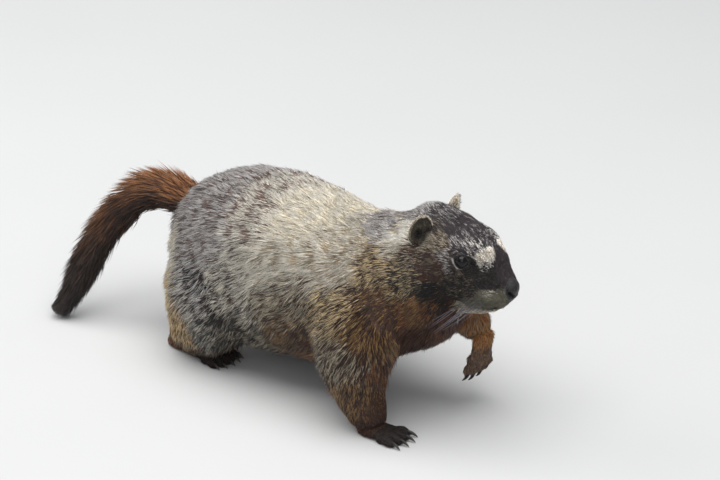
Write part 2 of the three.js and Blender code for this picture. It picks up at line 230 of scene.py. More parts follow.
PAINT_OF_SIDES = {
    "hip_edge": ((-140, 70, 102), 16, "sand", "cream", 0.9),
    "hip_band": ((-114, 72, 120), 12, "umber", "frost", 0.55),
    "hip": ((-80, 72, 130), 22, "umber", "frost", 0.85),
    "hip_top": ((-90, 58, 150), 24, "umber", "frost", 0.72),
    "side_top": ((-50, 52, 152), 24, "umber", "cream", 0.85),
    "saddle_side": ((-14, 40, 158), 24, "straw", "cream", 1.0),
    "saddle_low": ((-12, 62, 134), 26, "sand", "cream", 1.0),
    "saddle_edge": ((46, 38, 152), 22, "sand", "cream", 1.0),
    "flank": ((-54, 80, 104), 28, "bister", "cream", 0.74),
    "flank_rear": ((-90, 86, 92), 24, "soot", "frost", 0.66),
    "ribs": ((8, 72, 102), 24, "bister", "straw", 0.6),
    "flank_low": ((-45, 70, 54), 28, "soot", "straw", 0.42),
    "ribs_low": ((17, 64, 76), 24, "bister", "gold", 0.4),
    "belly_edge": ((-20, 44, 28), 24, "soot", "sand", 0.4),
}
PAINT_OF_FRONT = {
    "neck_top_right": ((76, -10, 176), 14, "taupe", "frost", 0.85),
    "neck_buff_right": ((90, -12, 176), 13, "straw", "white", 1.0),
    "neck_buff_left": ((70, 42, 176), 13, "straw", "white", 1.0),
    "neck_right": ((86, -32, 150), 17, "bister", "honey", 0.66),
    "neck_left": ((68, 56, 146), 18, "bister", "honey", 0.66),
    "neck_low_right": ((98, -34, 120), 15, "bister", "gold", 0.55),
    "shoulder_right": ((68, -62, 112), 20, "bister", "honey", 0.72),
    "shoulder_gold_right": ((92, -52, 104), 18, "bister", "gold", 0.6),
    "upper_foreleg_right": ((84, -84, 78), 24, "bister", "straw", 0.45),
    "forearm_right": ((92, -67, 46), 20, "bister", "gold", 0.6),
    "forearm_front_right": ((110, -50, 62), 16, "bister", "ginger", 0.45),
    "wrist_right": ((96, -53, 20), 13, "bister", "rust", 0.4),
    "shoulder_left": ((54, 66, 116), 20, "bister", "honey", 0.72),
    "upper_foreleg_left": ((84, 62, 92), 19, "rust", "ginger", 0.6),
    "forearm_left": ((104, 62, 78), 18, "ginger", "sand", 0.75),
    "wrist_left": ((122, 58, 68), 12, "ginger", "gold", 0.7),
}
PAINT_OF_HIND_LEG = {
    "thigh": ((-98, -92, 84), 18, "bister", "cream", 0.62),
    "thigh_rear": ((-136, -78, 78), 17, "sand", "honey", 0.85),
    "knee": ((-76, -84, 52), 17, "soot", "cream", 0.35),
    "shank": ((-116, -90, 52), 18, "rust", "honey", 0.68),
    "shank_rear": ((-146, -72, 44), 20, "gold", "honey", 0.8),
    "heel": ((-134, -62, 17), 15, "rust", "sand", 0.5),
}
PAINT_OF_PAWS_AND_TAIL = {
    "hindpaw_right": ((-104, -53, 6), 17, "soot", "bister", 0.4),
    "hindpaw_left": ((-60, 52, 6), 17, "soot", "bister", 0.4),
    "forepaw_right": ((122, -49, 5), 13, "soot", "bister", 0.4),
    "forepaw_left": ((118, 60, 44), 14, "umber", "gold", 0.4),
    "tail_root": ((-188, -4, 116), 13, "umber", "gold", 0.4),
}
PAINT_OF_HEAD_MIDLINE = {
    "crown_rear": ((-26, 0, 33), 16, "plum", "frost", 0.8),
    "crown": ((-8, 0, 35), 14, "plum", "frost", 0.2),
    "forehead": ((18, 0, 33), 14, "plum", "frost", 0.06),
    "brow_middle": ((38, 0, 28), 4.6, "plum", "frost", 0.15),
    "bridge": ((52, 0, 21), 4.2, "plum", "slate", 0.12),
    "nose_top": ((62, 0, 10), 8, "plum", "slate", 0.2),
    "nose_pad": ((75, 0, -3), 6, "slate", "slate", 0.0),
    "chin": ((55, 0, -36), 9, "sand", "cream", 1.0),
    "chin_rear": ((40, 0, -44), 11, "straw", "cream", 1.0),
    "gullet": ((14, 0, -50), 20, "bister", "rust", 0.5),
}
PAINT_OF_HEAD_SIDES = {
    "crown_side": ((-6, 22, 28), 10, "plum", "sand", 0.3),
    "ear_front": ((3, 30, 20), 8, "bister", "straw", 0.6),
    "ear_rear": ((-27, 32, 14), 9, "straw", "cream", 1.0),
    "ear_rear_low": ((-26, 38, 0), 9, "sand", "cream", 0.85),
    "ear_below": ((-8, 38, 2), 9, "bister", "straw", 0.5),
    "brow": ((28, 15, 28), 4.2, "plum", "white", 0.34),
    "brow_rear": ((24, 22, 25), 4.5, "plum", "frost", 0.35),
    "white_patch": ((48, 9.5, 22), 3.5, "sand", "white", 0.97),
    "white_patch_side": ((46, 14.5, 19.3), 4.0, "sand", "white", 0.97),
    "brow_front": ((37, 15, 25.5), 4.2, "plum", "white", 0.42),
    "white_patch_low": ((50, 15, 14.5), 3.2, "soot", "white", 0.6),
    "eye_rear": ((19, 30, 11), 4, "dusk", "frost", 0.6),
    "forehead_side": ((26, 8, 31), 6, "plum", "frost", 0.1),
    "eye_front": ((40, 21, 9), 4.5, "soot", "slate", 0.15),
    "eye_below": ((26, 29, 3.5), 3.6, "dusk", "frost", 0.6),
    "under_eye": ((34, 28, -1), 7, "soot", "sand", 0.3),
    "muzzle_side": ((56, 17, 2), 6, "soot", "slate", 0.25),
    "cheek_front": ((36, 27, -14), 9, "soot", "sand", 0.22),
    "cheek": ((10, 39, -2), 11, "bister", "sand", 0.22),
    "cheek_rear": ((-10, 42, -8), 11, "dusk", "honey", 0.45),
    "cheek_low": ((-4, 44, -22), 11, "soot", "honey", 0.4),
    "cheek_black": ((14, 38, -20), 8, "coal", "sand", 0.08),
    "jowl": ((6, 42, -38), 12, "rust", "gold", 0.45),
    "jowl_front": ((26, 31, -34), 9, "soot", "ginger", 0.3),
    "pad_top": ((60, 16, -9), 4, "olive", "cream", 0.5),
    "whisker_pad": ((62, 16, -17), 8, "olive", "slate", 0.4),
    "lip": ((46, 17, -27), 7, "olive", "slate", 0.5),
    "lip_rear": ((40, 14, -34), 6, "olive", "cream", 0.7),
    # Painted shade: the hair at the gap between the lips is painted black, as the gap's shade.
    "mouth_gap_shade": ((65.5, 12.5, -24.5), 4.2, "coal", "soot", 0.2),
}


# Soft fields over the body

HIND_STEP = 44  # how far the left hind leg stands ahead of the right one


def changed(row, place, way):
    """A row with one change made to its place and another to its lie, where it has one."""
    last = way(row[-1]) if isinstance(row[-1], tuple) else row[-1]
    return (place(row[0]), *row[1:-1], last)


def both_sides(rows):
    """Rows given for the left side, on both sides."""
    result = {}
    for name, row in rows.items():
        for side, side_name in ((LEFT, "left"), (RIGHT, "right")):
            def mirror(place):
                return mirrored(place, side)
            result[f"{name}_{side_name}"] = changed(row, mirror, mirror)
    return result


def hind_legs(rows):
    """Rows given for the right hind leg, then the same for the left one, a step ahead."""
    def across(way):
        return mirrored(way, -1)

    def ahead(place):
        return (place[0] + HIND_STEP, -place[1], place[2])
    right = {f"{name}_right": row for name, row in rows.items()}
    return {**right, **{f"{name}_left": changed(row, ahead, across) for name, row in rows.items()}}


def in_body(rows):
    """Rows given in the head's measure, in the body's."""
    return {name: changed(row, from_head, HEAD_TURN.dot) for name, row in rows.items()}


COAT_ROWS = {
    **COAT_OF_MIDLINE, **both_sides(COAT_OF_SIDES), **COAT_OF_FRONT, **hind_legs(COAT_OF_HIND_LEG),
    **COAT_OF_PAWS_AND_TAIL, **in_body(COAT_OF_HEAD_MIDLINE),
    **in_body(both_sides(COAT_OF_HEAD_SIDES)),
}
PAINT_ROWS = {
    **PAINT_OF_MIDLINE, **both_sides(PAINT_OF_SIDES), **PAINT_OF_FRONT, **hind_legs(PAINT_OF_HIND_LEG),
    **PAINT_OF_PAWS_AND_TAIL, **in_body(PAINT_OF_HEAD_MIDLINE),
    **in_body(both_sides(PAINT_OF_HEAD_SIDES)),
}


def nearness(points, rows, sharpness=1.0):
    """How much each named place counts at each point: exp(-sharpness * (distance / reach)^2), as
    shares of one."""
    places = np.array([row[0] for row in rows.values()], float)
    reaches = np.array([row[1] for row in rows.values()], float)
    far = ((points ** 2).sum(1)[:, None] + (places ** 2).sum(1)[None] - 2 * points @ places.T)
    far = np.maximum(far, 0) / reaches[None] ** 2 * sharpness
    weights = np.exp(far.min(1, keepdims=True) - far)
    return weights / weights.sum(1, keepdims=True)


LOCK = 2.6  # how wide a lock of tufts is
LOCK_DRAWN = 0.68  # how much of a lock's measure along the lie is taken away, which draws it out
SHARED_LUCK = 0.85  # how much of a tuft's luck comes from its lock, against 1 of its own
BEND = 0.45  # how far a tuft's tip bends back towards the body, as a share of its rise
DENSE = 0.95  # the share of the tips' height that the coat's outline reaches
UNDERWOOL = 0.2  # what lies on the skin even where hair is flat
Coat = namedtuple("Coat", "depth length width lift density lies place")


def coat_at(points):
    """The coat at each point, blended from the named places. Its place is the number of the one
    that counts most, and its depth is length * tan(lift) * (1 - bend), where its tips stand."""
    shares = nearness(points, COAT_ROWS)
    rows = list(COAT_ROWS.values())
    length, width, lift, density = (shares @ np.array([row[2:6] for row in rows], float)).T
    depth = length * np.tan(np.radians(lift)) * (1 - BEND) * DENSE + UNDERWOOL
    lies = shares @ np.array([np.array(row[6]) / np.linalg.norm(row[6]) for row in rows])
    return Coat(depth, length, width, lift, density, lies, shares.argmax(1))


SKIN_SHARPNESS, TUFT_SHARPNESS = 2.0, 2.4  # how crisply painted places meet
DARK_TIP = 0.5  # the tip of a tuft without a pale tip, as a share of its lower colour


def paint_at(points, pigments):
    """The mean lower colour and tip colour at each point."""
    shares = nearness(points, PAINT_ROWS, SKIN_SHARPNESS)
    rows = list(PAINT_ROWS.values())
    under = shares @ np.array([pigments[row[2]] for row in rows])
    pale = shares @ np.array([pigments[row[3]] for row in rows])
    return under, pale


def lock_of(points, lies):
    """The number of each tuft's lock: a small box of space, drawn out along the lie of the coat."""
    drawn = points - LOCK_DRAWN * lies * (points * lies).sum(1, keepdims=True)
    cells = np.floor(drawn / LOCK).astype(int)
    return np.unique(cells, axis=0, return_inverse=True)[1].ravel()


def paint_of_tufts(points, lock, pigments, chance):
    """The lower colour and tip colour of each tuft. A tuft takes the paint of one place, picked at
    random by nearness, so that two coats mingle hair by hair where they meet. Whether its tip is
    pale is luck, which it partly shares with its lock."""
    ladder = np.cumsum(nearness(points, PAINT_ROWS, TUFT_SHARPNESS), axis=1)
    pick = (ladder < chance.uniform(0, 1, (len(points), 1)) * ladder[:, -1:]).sum(1)
    rows = list(PAINT_ROWS.values())
    under = np.array([pigments[row[2]] for row in rows])[pick]
    pale = np.array([pigments[row[3]] for row in rows])[pick]
    share = np.array([row[4] for row in rows])[pick]
    luck = chance.uniform(0, 1, len(points)) + SHARED_LUCK * chance.uniform(0, 1, lock.max() + 1)[lock]
    luck = luck.argsort().argsort() / len(luck)
    return under, np.where((luck < share)[:, None], pale, under * DARK_TIP)


def ripples(points, wavelength, seed, waves=9):
    """A soft random field of about -1 to 1: the mean of sine waves in random directions."""
    chance = np.random.default_rng(seed)
    ways = chance.normal(size=(waves, 3))
    pitch = 2 * np.pi / wavelength * chance.uniform(0.7, 1.4, (waves, 1))
    ways *= pitch / np.linalg.norm(ways, axis=1, keepdims=True)
    phases = chance.uniform(0, 2 * np.pi, waves)
    return np.sin(points @ ways.T + phases).sum(1) / np.sqrt(waves)


def unit(vectors):
    return vectors / np.maximum(np.linalg.norm(vectors, axis=-1, keepdims=True), 1e-9)


def smooth_step(low, high, value):
    share = np.clip((value - low) / (high - low), 0, 1)
    return share * share * (3 - 2 * share)


# Meshes from arrays

def in_frame(points):
    return (np.asarray(points, float) + BODY_SHIFT) * MM


def in_body_measure(mesh):
    """A mesh's points in the body's measure, in millimetres."""
    flat = np.empty(len(mesh.vertices) * 3, np.float32)
    mesh.vertices.foreach_get("co", flat)
    return flat.reshape(-1, 3).astype(float) / MM - BODY_SHIFT


def normals_of(mesh):
    flat = np.empty(len(mesh.vertices) * 3, np.float32)
    mesh.vertices.foreach_get("normal", flat)
    return flat.reshape(-1, 3).astype(float)


def new_mesh(name, points, faces):
    """A smooth mesh of points in the body's measure and of arrays of faces with equal corners."""
    mesh = bpy.data.meshes.new(name)
    mesh.vertices.add(len(points))
    mesh.vertices.foreach_set("co", in_frame(points).astype(np.float32).ravel())
    corners = np.concatenate([part.ravel() for part in faces])
    sizes = np.concatenate([np.full(len(part), part.shape[1]) for part in faces])
    mesh.loops.add(len(corners))
    mesh.loops.foreach_set("vertex_index", corners.astype(np.int32))
    mesh.polygons.add(len(sizes))
    mesh.polygons.foreach_set("loop_start", (np.cumsum(sizes) - sizes).astype(np.int32))
    mesh.polygons.foreach_set("use_smooth", np.ones(len(sizes), bool))
    mesh.update(calc_edges=True)
    return mesh


def new_piece(name, mesh, material, replaced=()):
    """A finished piece, with its material and slot, that rides on the body and replaces its nodes."""
    old = bpy.data.objects.get(name)
    if old:
        bpy.data.objects.remove(old)
    piece = bpy.data.objects.new(name, mesh)
    bpy.context.scene.collection.objects.link(piece)
    mesh.materials.append(material)
    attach(piece, BODY)
    if replaced:
        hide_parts(*replaced)
    return piece


def set_numbers(mesh, name, values):
    mesh.attributes.new(name, "FLOAT", "POINT").data.foreach_set("value", values.astype(np.float32))


def numbers_of(mesh, name):
    values = np.empty(len(mesh.vertices), np.float32)
    mesh.attributes[name].data.foreach_get("value", values)
    return values


def set_colours(mesh, name, colours):
    rgba = np.concatenate([colours, np.ones((len(colours), 1))], axis=1)
    attribute = mesh.attributes.new(name, "FLOAT_COLOR", "POINT")
    attribute.data.foreach_set("color", rgba.astype(np.float32).ravel())


def edges_of(mesh):
    flat = np.empty(len(mesh.edges) * 2, np.int32)
    mesh.edges.foreach_get("vertices", flat)
    return flat.reshape(-1, 2)


def relaxed(points, edges, rounds, amount):
    """Each round moves every point by its amount towards the mean of its neighbours."""
    count = len(points)
    near = np.bincount(edges.ravel(), minlength=count)[:, None]
    both = np.concatenate([edges, edges[:, ::-1]])
    for _ in range(rounds):
        total = np.stack([np.bincount(both[:, 0], points[both[:, 1], k], count) for k in range(3)], 1)
        points = points + amount * (total / np.maximum(near, 1) - points)
    return points


def curve(points, places):
    """The smooth curve through rows of numbers, at places from 0 to their count less one:
    on each stretch, the cubic whose slope at a row is half the step between the rows beside it."""
    rows = np.asarray(points, float)
    rows = np.concatenate([2 * rows[:1] - rows[1:2], rows, 2 * rows[-1:] - rows[-2:-1]])
    start = np.clip(np.floor(places).astype(int), 0, len(points) - 2)
    t = (places - start)[:, None]
    a, b, c, d = (rows[start + k] for k in range(4))
    square = 2 * a - 5 * b + 4 * c - d
    cube = 3 * b - a - 3 * c + d
    return 0.5 * (2 * b + (c - a) * t + square * t ** 2 + cube * t ** 3)


def outward(points, faces):
    """A closed shape with its faces turned outwards, by the sign of its volume: the sum of
    a . (b x c) / 6 over its triangles."""
    middle = points - points.mean(0)
    volume = 0.0
    for part in faces:
        for k in range(1, part.shape[1] - 1):
            a, b, c = (middle[part[:, i]] for i in (0, k, k + 1))
            volume += (a * np.cross(b, c)).sum() / 6
    return points, [part if volume > 0 else part[:, ::-1] for part in faces]


def swept(stations, reference, sides, per_stretch=3, cap=4):
    """A round-ended body along a curve. Stations hold x, y, z, half width, reach up and reach down.
    Ring points are centre + side * width * sin(a) + up * reach * cos(a), and the rings of the first
    and last stretch shrink by a quarter circle."""
    count = len(stations)
    quarter = np.linspace(0, np.pi / 2, cap + 1)
    middle = np.arange(1, (count - 3) * per_stretch) / per_stretch + 1
    places = np.concatenate([1 - np.cos(quarter), middle, count - 2 + np.cos(quarter[::-1])])
    shrink = np.concatenate([np.sin(quarter), np.ones(len(middle)), np.sin(quarter[::-1])])
    rows = curve(stations, places)
    step = 1e-3
    along = unit(curve(stations, np.minimum(places + step, count - 1))[:, :3]
                 - curve(stations, np.maximum(places - step, 0))[:, :3])
    side = unit(np.cross(np.asarray(reference, float), along))
    up = np.cross(along, side)
    angle = -2 * np.pi * np.arange(sides) / sides
    reach = np.where(np.cos(angle)[None] > 0, rows[:, 4:5], rows[:, 5:6])
    ring = (side[:, None] * (np.sin(angle)[None] * rows[:, 3:4])[..., None]
            + up[:, None] * (np.cos(angle)[None] * reach)[..., None])
    points = rows[:, None, :3] + ring * np.maximum(shrink, 0.02)[:, None, None]
    return outward(points.reshape(-1, 3), tube_faces(len(rows), sides))


def tube_faces(rings, sides):
    """Quads between rings and a fan at each end, all facing one way."""
    ring, side = np.meshgrid(np.arange(rings - 1), np.arange(sides), indexing="ij")
    here, right = ring * sides + side, ring * sides + (side + 1) % sides
    quads = np.stack([here, here + sides, right + sides, right], -1).reshape(-1, 4)
    turn = np.arange(1, sides - 1)
    first = np.stack([np.zeros_like(turn), turn, turn + 1], 1)
    last = np.stack([np.zeros_like(turn), turn + 1, turn], 1) + (rings - 1) * sides
    return [quads, np.concatenate([first, last])]


def together(shapes):
    """Several shapes, each points and lists of faces, as one."""
    points, quads, triangles, count = [], [], [], 0
    for shape_points, (shape_quads, shape_triangles) in shapes:
        points.append(shape_points)
        quads.append(shape_quads + count)
        triangles.append(shape_triangles + count)
        count += len(shape_points)
    return np.concatenate(points), [np.concatenate(quads), np.concatenate(triangles)]


# Flesh: paws and tail core, which carry no CAD facets

PAW_PLACES = {
    "forepaw_right": ((103, -53, 0), 14, 0),
    "forepaw_left": ((114, 60, 54), 4, 96),
    "hindpaw_right": ((-141, -55, 0), 4, 0),
    "hindpaw_left": ((-97, 55, 0), -6, 0),
}
FOREPAW = {"heel": -12, "ball": 14, "half_width": 13, "height": 12, "toe_length": 16, "claw": 11,
           "toes": (-1, -0.36, 0.3, 0.92)}
HINDPAW = {"heel": -14, "ball": 36, "half_width": 14, "height": 13, "toe_length": 17, "claw": 10,
           "toes": (-1, -0.52, 0, 0.5, 0.98)}
TOE_RADIUS = 4.2
TOE_SPREAD = 0.22
CLAW_SIDES = 12
UP = (0, 0, 1)


def paw_form(name):
    return FOREPAW if name.startswith("fore") else HINDPAW


def set_paw(name, points):
    """Points in a paw's own measure, moved to where the paw is."""
    place, yaw, pitch = PAW_PLACES[name]
    return points @ turning(yaw, pitch).T + np.array(place)


def toe_line(name, across):
    """The middle line of one toe: a function of the distance along it and of a drop below it."""
    form = paw_form(name)
    turn = across * TOE_SPREAD
    reach = form["toe_length"] * (1 - TOE_SPREAD * across ** 2)
    root = (form["ball"] - 4, across * (form["half_width"] - TOE_RADIUS * 0.7), TOE_RADIUS - 0.7)
    curl = 0.15 if name == "forepaw_left" else 0

    def at(far, drop=0.0):
        bend = curl * min(far, reach) ** 2 / reach
        return (root[0] + far * np.cos(turn), root[1] + far * np.sin(turn), root[2] - drop - bend)
    return at, reach, curl


def toe_sides(name):
    side = -1 if name.endswith("left") else 1
    return [across * side for across in paw_form(name)["toes"]]


def paw_flesh(name):
    """The pad and toes of a paw, without its claws. Each toe swells at its knuckle and at its pad."""
    form = paw_form(name)
    heel, pad_ball, width, height = (form[key] for key in ("heel", "ball", "half_width", "height"))
    middle = height / 2 - 0.7
    pad = [
        (heel - 6, 0, middle, 6, 6, 4),
        (heel, 0, middle, width * 0.72, height * 0.55, height / 2),
        ((heel + pad_ball) / 2, 0, middle, width * 0.85, height / 2, height / 2),
        (pad_ball, 0, height * 0.42 - 0.7, width, height * 0.4, height * 0.42),
        (pad_ball + 6, 0, height * 0.36, width * 0.8, 4, 4),
    ]
    shapes = [swept(pad, UP, 20)]
    for across in toe_sides(name):
        at, reach, _ = toe_line(name, across)
        r = TOE_RADIUS
        toe = [
            (*at(-5), 3, 3, 3),
            (*at(0), r * 0.95, r, r),
            (*at(reach * 0.35, -0.4), r * 0.86, r * 0.9, r * 0.9),
            (*at(reach * 0.6, -0.8), r * 0.98, r * 1.1, r),
            (*at(reach, 0), r * 0.86, r * 0.82, r),
            (*at(reach + 4, 0.8), 1.6, 1.6, 2.2),
        ]
        shapes.append(swept(toe, UP, 14))
    points, faces = together(shapes)
    return set_paw(name, points), faces


def paw_claws(name):
    """The claws of a paw: slim curved cones, higher than wide, that start inside the toe tips."""
    claws = []
    for across in toe_sides(name):
        at, reach, curl = toe_line(name, across)
        claw = paw_form(name)["claw"]
        stations = [
            (*at(reach - 3, -0.6), 1.3, 1.6, 1.2),
            (*at(reach + 1.5, -0.9), 1.55, 2.0, 1.6),
            (*at(reach + claw * 0.45, -0.5 + curl * 3), 1.3, 1.7, 1.3),
            (*at(reach + claw * 0.75, 0.9 + curl * 5), 0.85, 1.1, 0.9),
            (*at(reach + claw, 2.9 + curl * 7), 0.3, 0.35, 0.3),
        ]
        claws.append(swept(stations, UP, CLAW_SIDES))
    points, faces = together(claws)
    return set_paw(name, points), faces


TAIL = [  # the brush's middle line and its outer radius
    (-158, 0, 108, 18), (-184, -3, 113, 19), (-208, -10, 119, 21), (-233, -24, 115, 21.5),
    (-253, -44, 91, 20), (-263, -63, 61, 18), (-266, -80, 35, 16.5), (-271, -91, 17, 10.5),
    (-279, -96, 7, 4),
]
TAIL_LAST = len(TAIL) - 1
TAIL_CORE = 0.42  # the tail's flesh as a share of its outer radius
TAIL_TAPER = 0.06  # how much slimmer the flesh grows from one row to the next
TAIL_END = np.array((-279.0, -96.0, 8.0))
TAIL_BEND = 0.4
TAIL_HAIR, TAIL_HAIR_WIDTH = 31, 1.25


def tail_flesh_radius(outer, places):
    return outer * TAIL_CORE * (1 - TAIL_TAPER * places)


def tail_core():
    """The tail's flesh: a slim tapering body along the middle of the brush, ending before its tip."""
    places = np.append(np.arange(TAIL_LAST), TAIL_LAST - 0.5)
    rows = curve(TAIL, places.astype(float))
    thin = np.where(places > TAIL_LAST - 1, 0.4, 1)
    radius = (tail_flesh_radius(rows[:, 3], places) * thin)[:, None]
    stations = np.concatenate([rows[:, :3], radius, radius, radius], 1)
    return swept(stations, (0, 1, 0), 20)


# The skin

FLESH = ("trunk", "neck", "head", "jaw", "nose", "eye_left", "eye_right",
         "foreleg_right", "foreleg_left", "hindleg_right", "hindleg_left")
SKIN_REPLACES = ("trunk", "neck", "head", "jaw", "nose", "ear_left", "ear_right", "tail_base",
                 "tail_middle", "tail_tip", *PAW_PLACES, "foreleg_right", "foreleg_left",
                 "hindleg_right", "hindleg_left")
VOXEL = 2.4
EYE_AT = (29, 23.8, 12.3)
EYE_RADIUS = 6.6
CORNEA = 0.35  # how far the cornea stands out of the ball
EYE_FACES = (0.36, 0.9, 0.2)
EYE_OPENING = (61, 54)
EAR_AT = (-14, 28.5, 20.5)
EAR_FACES = (0.66, 0.75, 0.1)
EAR_HALF_WIDTH, EAR_HALF_HEIGHT, EAR_DEPTH, EAR_WALL = 9.6, 13.6, 7.0, 1.7
EAR_LEAN = 1.6  # how much further out the rear of an ear's rim stands than its middle
MUZZLE_FROM = 44
FRONT_PROFILE = (  # height, and how far forward the middle of the muzzle reaches there
    (-46, 42), (-40, 52), (-34, 59.5), (-29, 63.5), (-26.5, 65), (-24, 68.5), (-19, 70.5),
    (-14, 73.5), (-9, 77), (-3, 78.4), (3, 77.4), (8, 73), (13, 67),
)


def swollen_copy(node, swell=0.6):
    """A merged copy of a CAD node's mesh, swollen a little so that it meets its neighbours."""
    copy = bmesh.new()
    copy.from_mesh(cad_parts[node].data)
    bmesh.ops.remove_doubles(copy, verts=copy.verts, dist=1e-6)
    bmesh.ops.triangulate(copy, faces=copy.faces)
    copy.normal_update()
    points = np.array([vertex.co for vertex in copy.verts])
    normals = np.array([vertex.normal for vertex in copy.verts])
    triangles = np.array([[vertex.index for vertex in face.verts] for face in copy.faces])
    copy.free()
    points = points / MM - BODY_SHIFT + normals * swell
    return points, [np.empty((0, 4), int), triangles]


def voxel_mesh(mesh, size):
    """The mesh's outside, made again of even quads of about that size."""
    holder = bpy.data.objects.new("voxels", mesh)
    bpy.context.scene.collection.objects.link(holder)
    remesh = holder.modifiers.new("remesh", "REMESH")
    remesh.mode = "VOXEL"
    remesh.voxel_size = size * MM
    remesh.use_smooth_shade = True
    graph = bpy.context.evaluated_depsgraph_get()
    result = bpy.data.meshes.new_from_object(holder.evaluated_get(graph))
    bpy.data.objects.remove(holder)
    return result


def set_points(mesh, points):
    mesh.vertices.foreach_set("co", in_frame(points).astype(np.float32).ravel())
    mesh.update()


def body_smoothness(points):
    """How strongly the facets are smoothed away: fully where hair is long, less on head and paws."""
    return smooth_step(8.5, 18, coat_at(points).length)


def refined(mesh, chosen):
    """The mesh with the chosen region's edges cut in two. chosen maps head places to true or false."""
    work = bmesh.new()
    work.from_mesh(mesh)
    inside = chosen(to_head(in_body_measure(mesh)))
    edges = [edge for edge in work.edges if inside[edge.verts[0].index] and inside[edge.verts[1].index]]
    bmesh.ops.subdivide_edges(work, edges=edges, cuts=1, use_grid_fill=True)
    bmesh.ops.triangulate(work, faces=[face for face in work.faces if len(face.verts) > 4])
    work.to_mesh(mesh)
    work.free()
    mesh.update()


def aside(head):
    """Both sides of the head laid on its left one."""
    return np.stack([head[:, 0], np.abs(head[:, 1]), head[:, 2]], 1)


def nearer(head, place):
    """Distance to a place on the nearer side of the head."""
    return np.linalg.norm(aside(head) - np.array(place), axis=1)


def face_region(head):
    """The face, and the dents that the ears sit in."""
    x, y, z = head.T
    face = (x > 14) & (z > -50) & (z < 42) & (np.abs(y) < 42)
    return face | (nearer(head, EAR_AT) < 16)


def fine_region(head):
    """The eyes, nose and mouth."""
    nose = nearer(head, (76, 0, -6)) < 15
    mouth = line_distance(aside(head), MOUTH_LINE) < 5
    return (nearer(head, EYE_AT) < 13) | nose | mouth


def eye_region(head):
    """The lids and nostrils."""
    return (nearer(head, EYE_AT) < 10.5) | (nearer(head, (77, 5, -7)) < 6.5)


def eye_axes(side):
    """Outwards, forwards and upwards at an eye."""
    out = unit(np.array(mirrored(EYE_FACES, side), float))
    ahead = unit(np.cross(np.array(UP, float), out) * -side)
    ahead = ahead * np.sign(ahead[0])
    above = unit(np.cross(out, ahead))
    return out, ahead, above * np.sign(above[2])


def around_eye(head, side):
    """For each point: its place around the eye as a share of the opening (1 at the lids' edge), its
    angles forwards and upwards in degrees, its distance from the eye's middle, and its direction."""
    out, ahead, above = eye_axes(side)
    step = head - np.array(mirrored(EYE_AT, side))
    far = np.linalg.norm(step, axis=1)
    way = step / np.maximum(far, 1e-6)[:, None]
    forward = np.degrees(np.arctan2(way @ ahead, way @ out))
    upward = np.degrees(np.arctan2(way @ above, way @ out))
    share = (np.abs(forward) / EYE_OPENING[0]) ** 2 + (np.abs(upward) / EYE_OPENING[1]) ** 1.7
    return share, forward, upward, far, way


LID_GAP = 0.25
LID, UPPER_LID = 0.75, 0.6  # how thick the lids are, and how much more the upper one is
SOCKET = 1.2  # how far the skin sinks behind the front of the eye
LID_FADE = (1.35, 2.35)  # the share around the eye where the lids pass into the face


def shape_lids(head):
    """Skin inside the opening sinks behind the eye. Around it, two lids lie on the eye and swell
    softly: the upper one is thicker."""
    for side in (LEFT, RIGHT):
        share, _, upward, far, way = around_eye(head, side)
        thick = LID + UPPER_LID * smooth_step(-25, 25, upward)
        lid = EYE_RADIUS + LID_GAP + thick * np.exp(-((share - 1.3) / 0.28) ** 2)
        target = np.where(share < 1, EYE_RADIUS - SOCKET, lid)
        hold = (1 - smooth_step(*LID_FADE, share)) * (far < 16)
        centre = head - way * far[:, None]
        head = centre + way * (hold * target + (1 - hold) * far)[:, None]
    return head


def line_distance(points, line):
    """How far each point is from a broken line."""
    line = np.asarray(line, float)
    far = np.full(len(points), 1e9)
    for start, end in zip(line[:-1], line[1:]):
        span = end - start
        share = np.clip((points - start) @ span / (span @ span), 0, 1)
        far = np.minimum(far, np.linalg.norm(points - start - share[:, None] * span, axis=1))
    return far


def groove(head, line, width, depth, inwards):
    """Points near a line sink towards a middle: by depth * exp(-(distance / width)^2)."""
    sink = depth * np.exp(-(line_distance(head, line) / width) ** 2)
    return head + unit(np.asarray(inwards, float) - head) * sink[:, None]


NOSE_PAD_AT, NOSE_PAD = (74, 0, -2.5), (9.5, 10, 11)
EAR_CANAL_AT, EAR_CANAL = (-5, 0, -5), (5, 4.6, 6.5)  # in an ear's own measure
NOSTRIL_LINE = ((76.2, 3.2, -8.5), (75.4, 5.6, -7.2), (73, 8.0, -5))
NOSE_WING = ((75, 8.2, -11), (71, 9.8, -7), (68, 9.2, 0), (67.5, 5, 6))
CLEFT = ((77.2, 0, -7), (74, 0, -14), (69, 0, -22), (67.5, 0, -25.5))
MOUTH_LINE = (  # forward, sideways, upward
    (69, 0, -25), (67.5, 6.5, -25), (63.5, 11, -26), (56, 13, -28.8), (47, 14.6, -32.2),
    (40, 15.4, -35), (35, 16, -37.2),
)


def on_side(line, side):
    return [mirrored(place, side) for place in line]


def shape_muzzle(head):
    """The front of the muzzle keeps behind its profile less 0.035 * sideways^2, so that it is round."""
    heights, reaches = np.array(FRONT_PROFILE).T
    limit = np.interp(head[:, 2], heights, reaches) - 0.035 * head[:, 1] ** 2
    over = np.maximum(head[:, 0] - limit, 0) * (head[:, 0] > MUZZLE_FROM)
    head = head.copy()
    head[:, 0] -= 0.9 * over
    return head


def ear_axes(side):
    """The way an ear faces, the way across it, and the way up it."""
    faces = unit(np.array(mirrored(EAR_FACES, side), float))
    above = unit(np.cross(np.cross(faces, np.array((-0.08, -0.12 * side, 1.0))), faces))
    return faces, np.cross(above, faces), above


def in_ear(head, side):
    """Places in an ear's own measure: out of its opening, across it and up it."""
    return (head - np.array(mirrored(EAR_AT, side))) @ np.stack(ear_axes(side), 1)


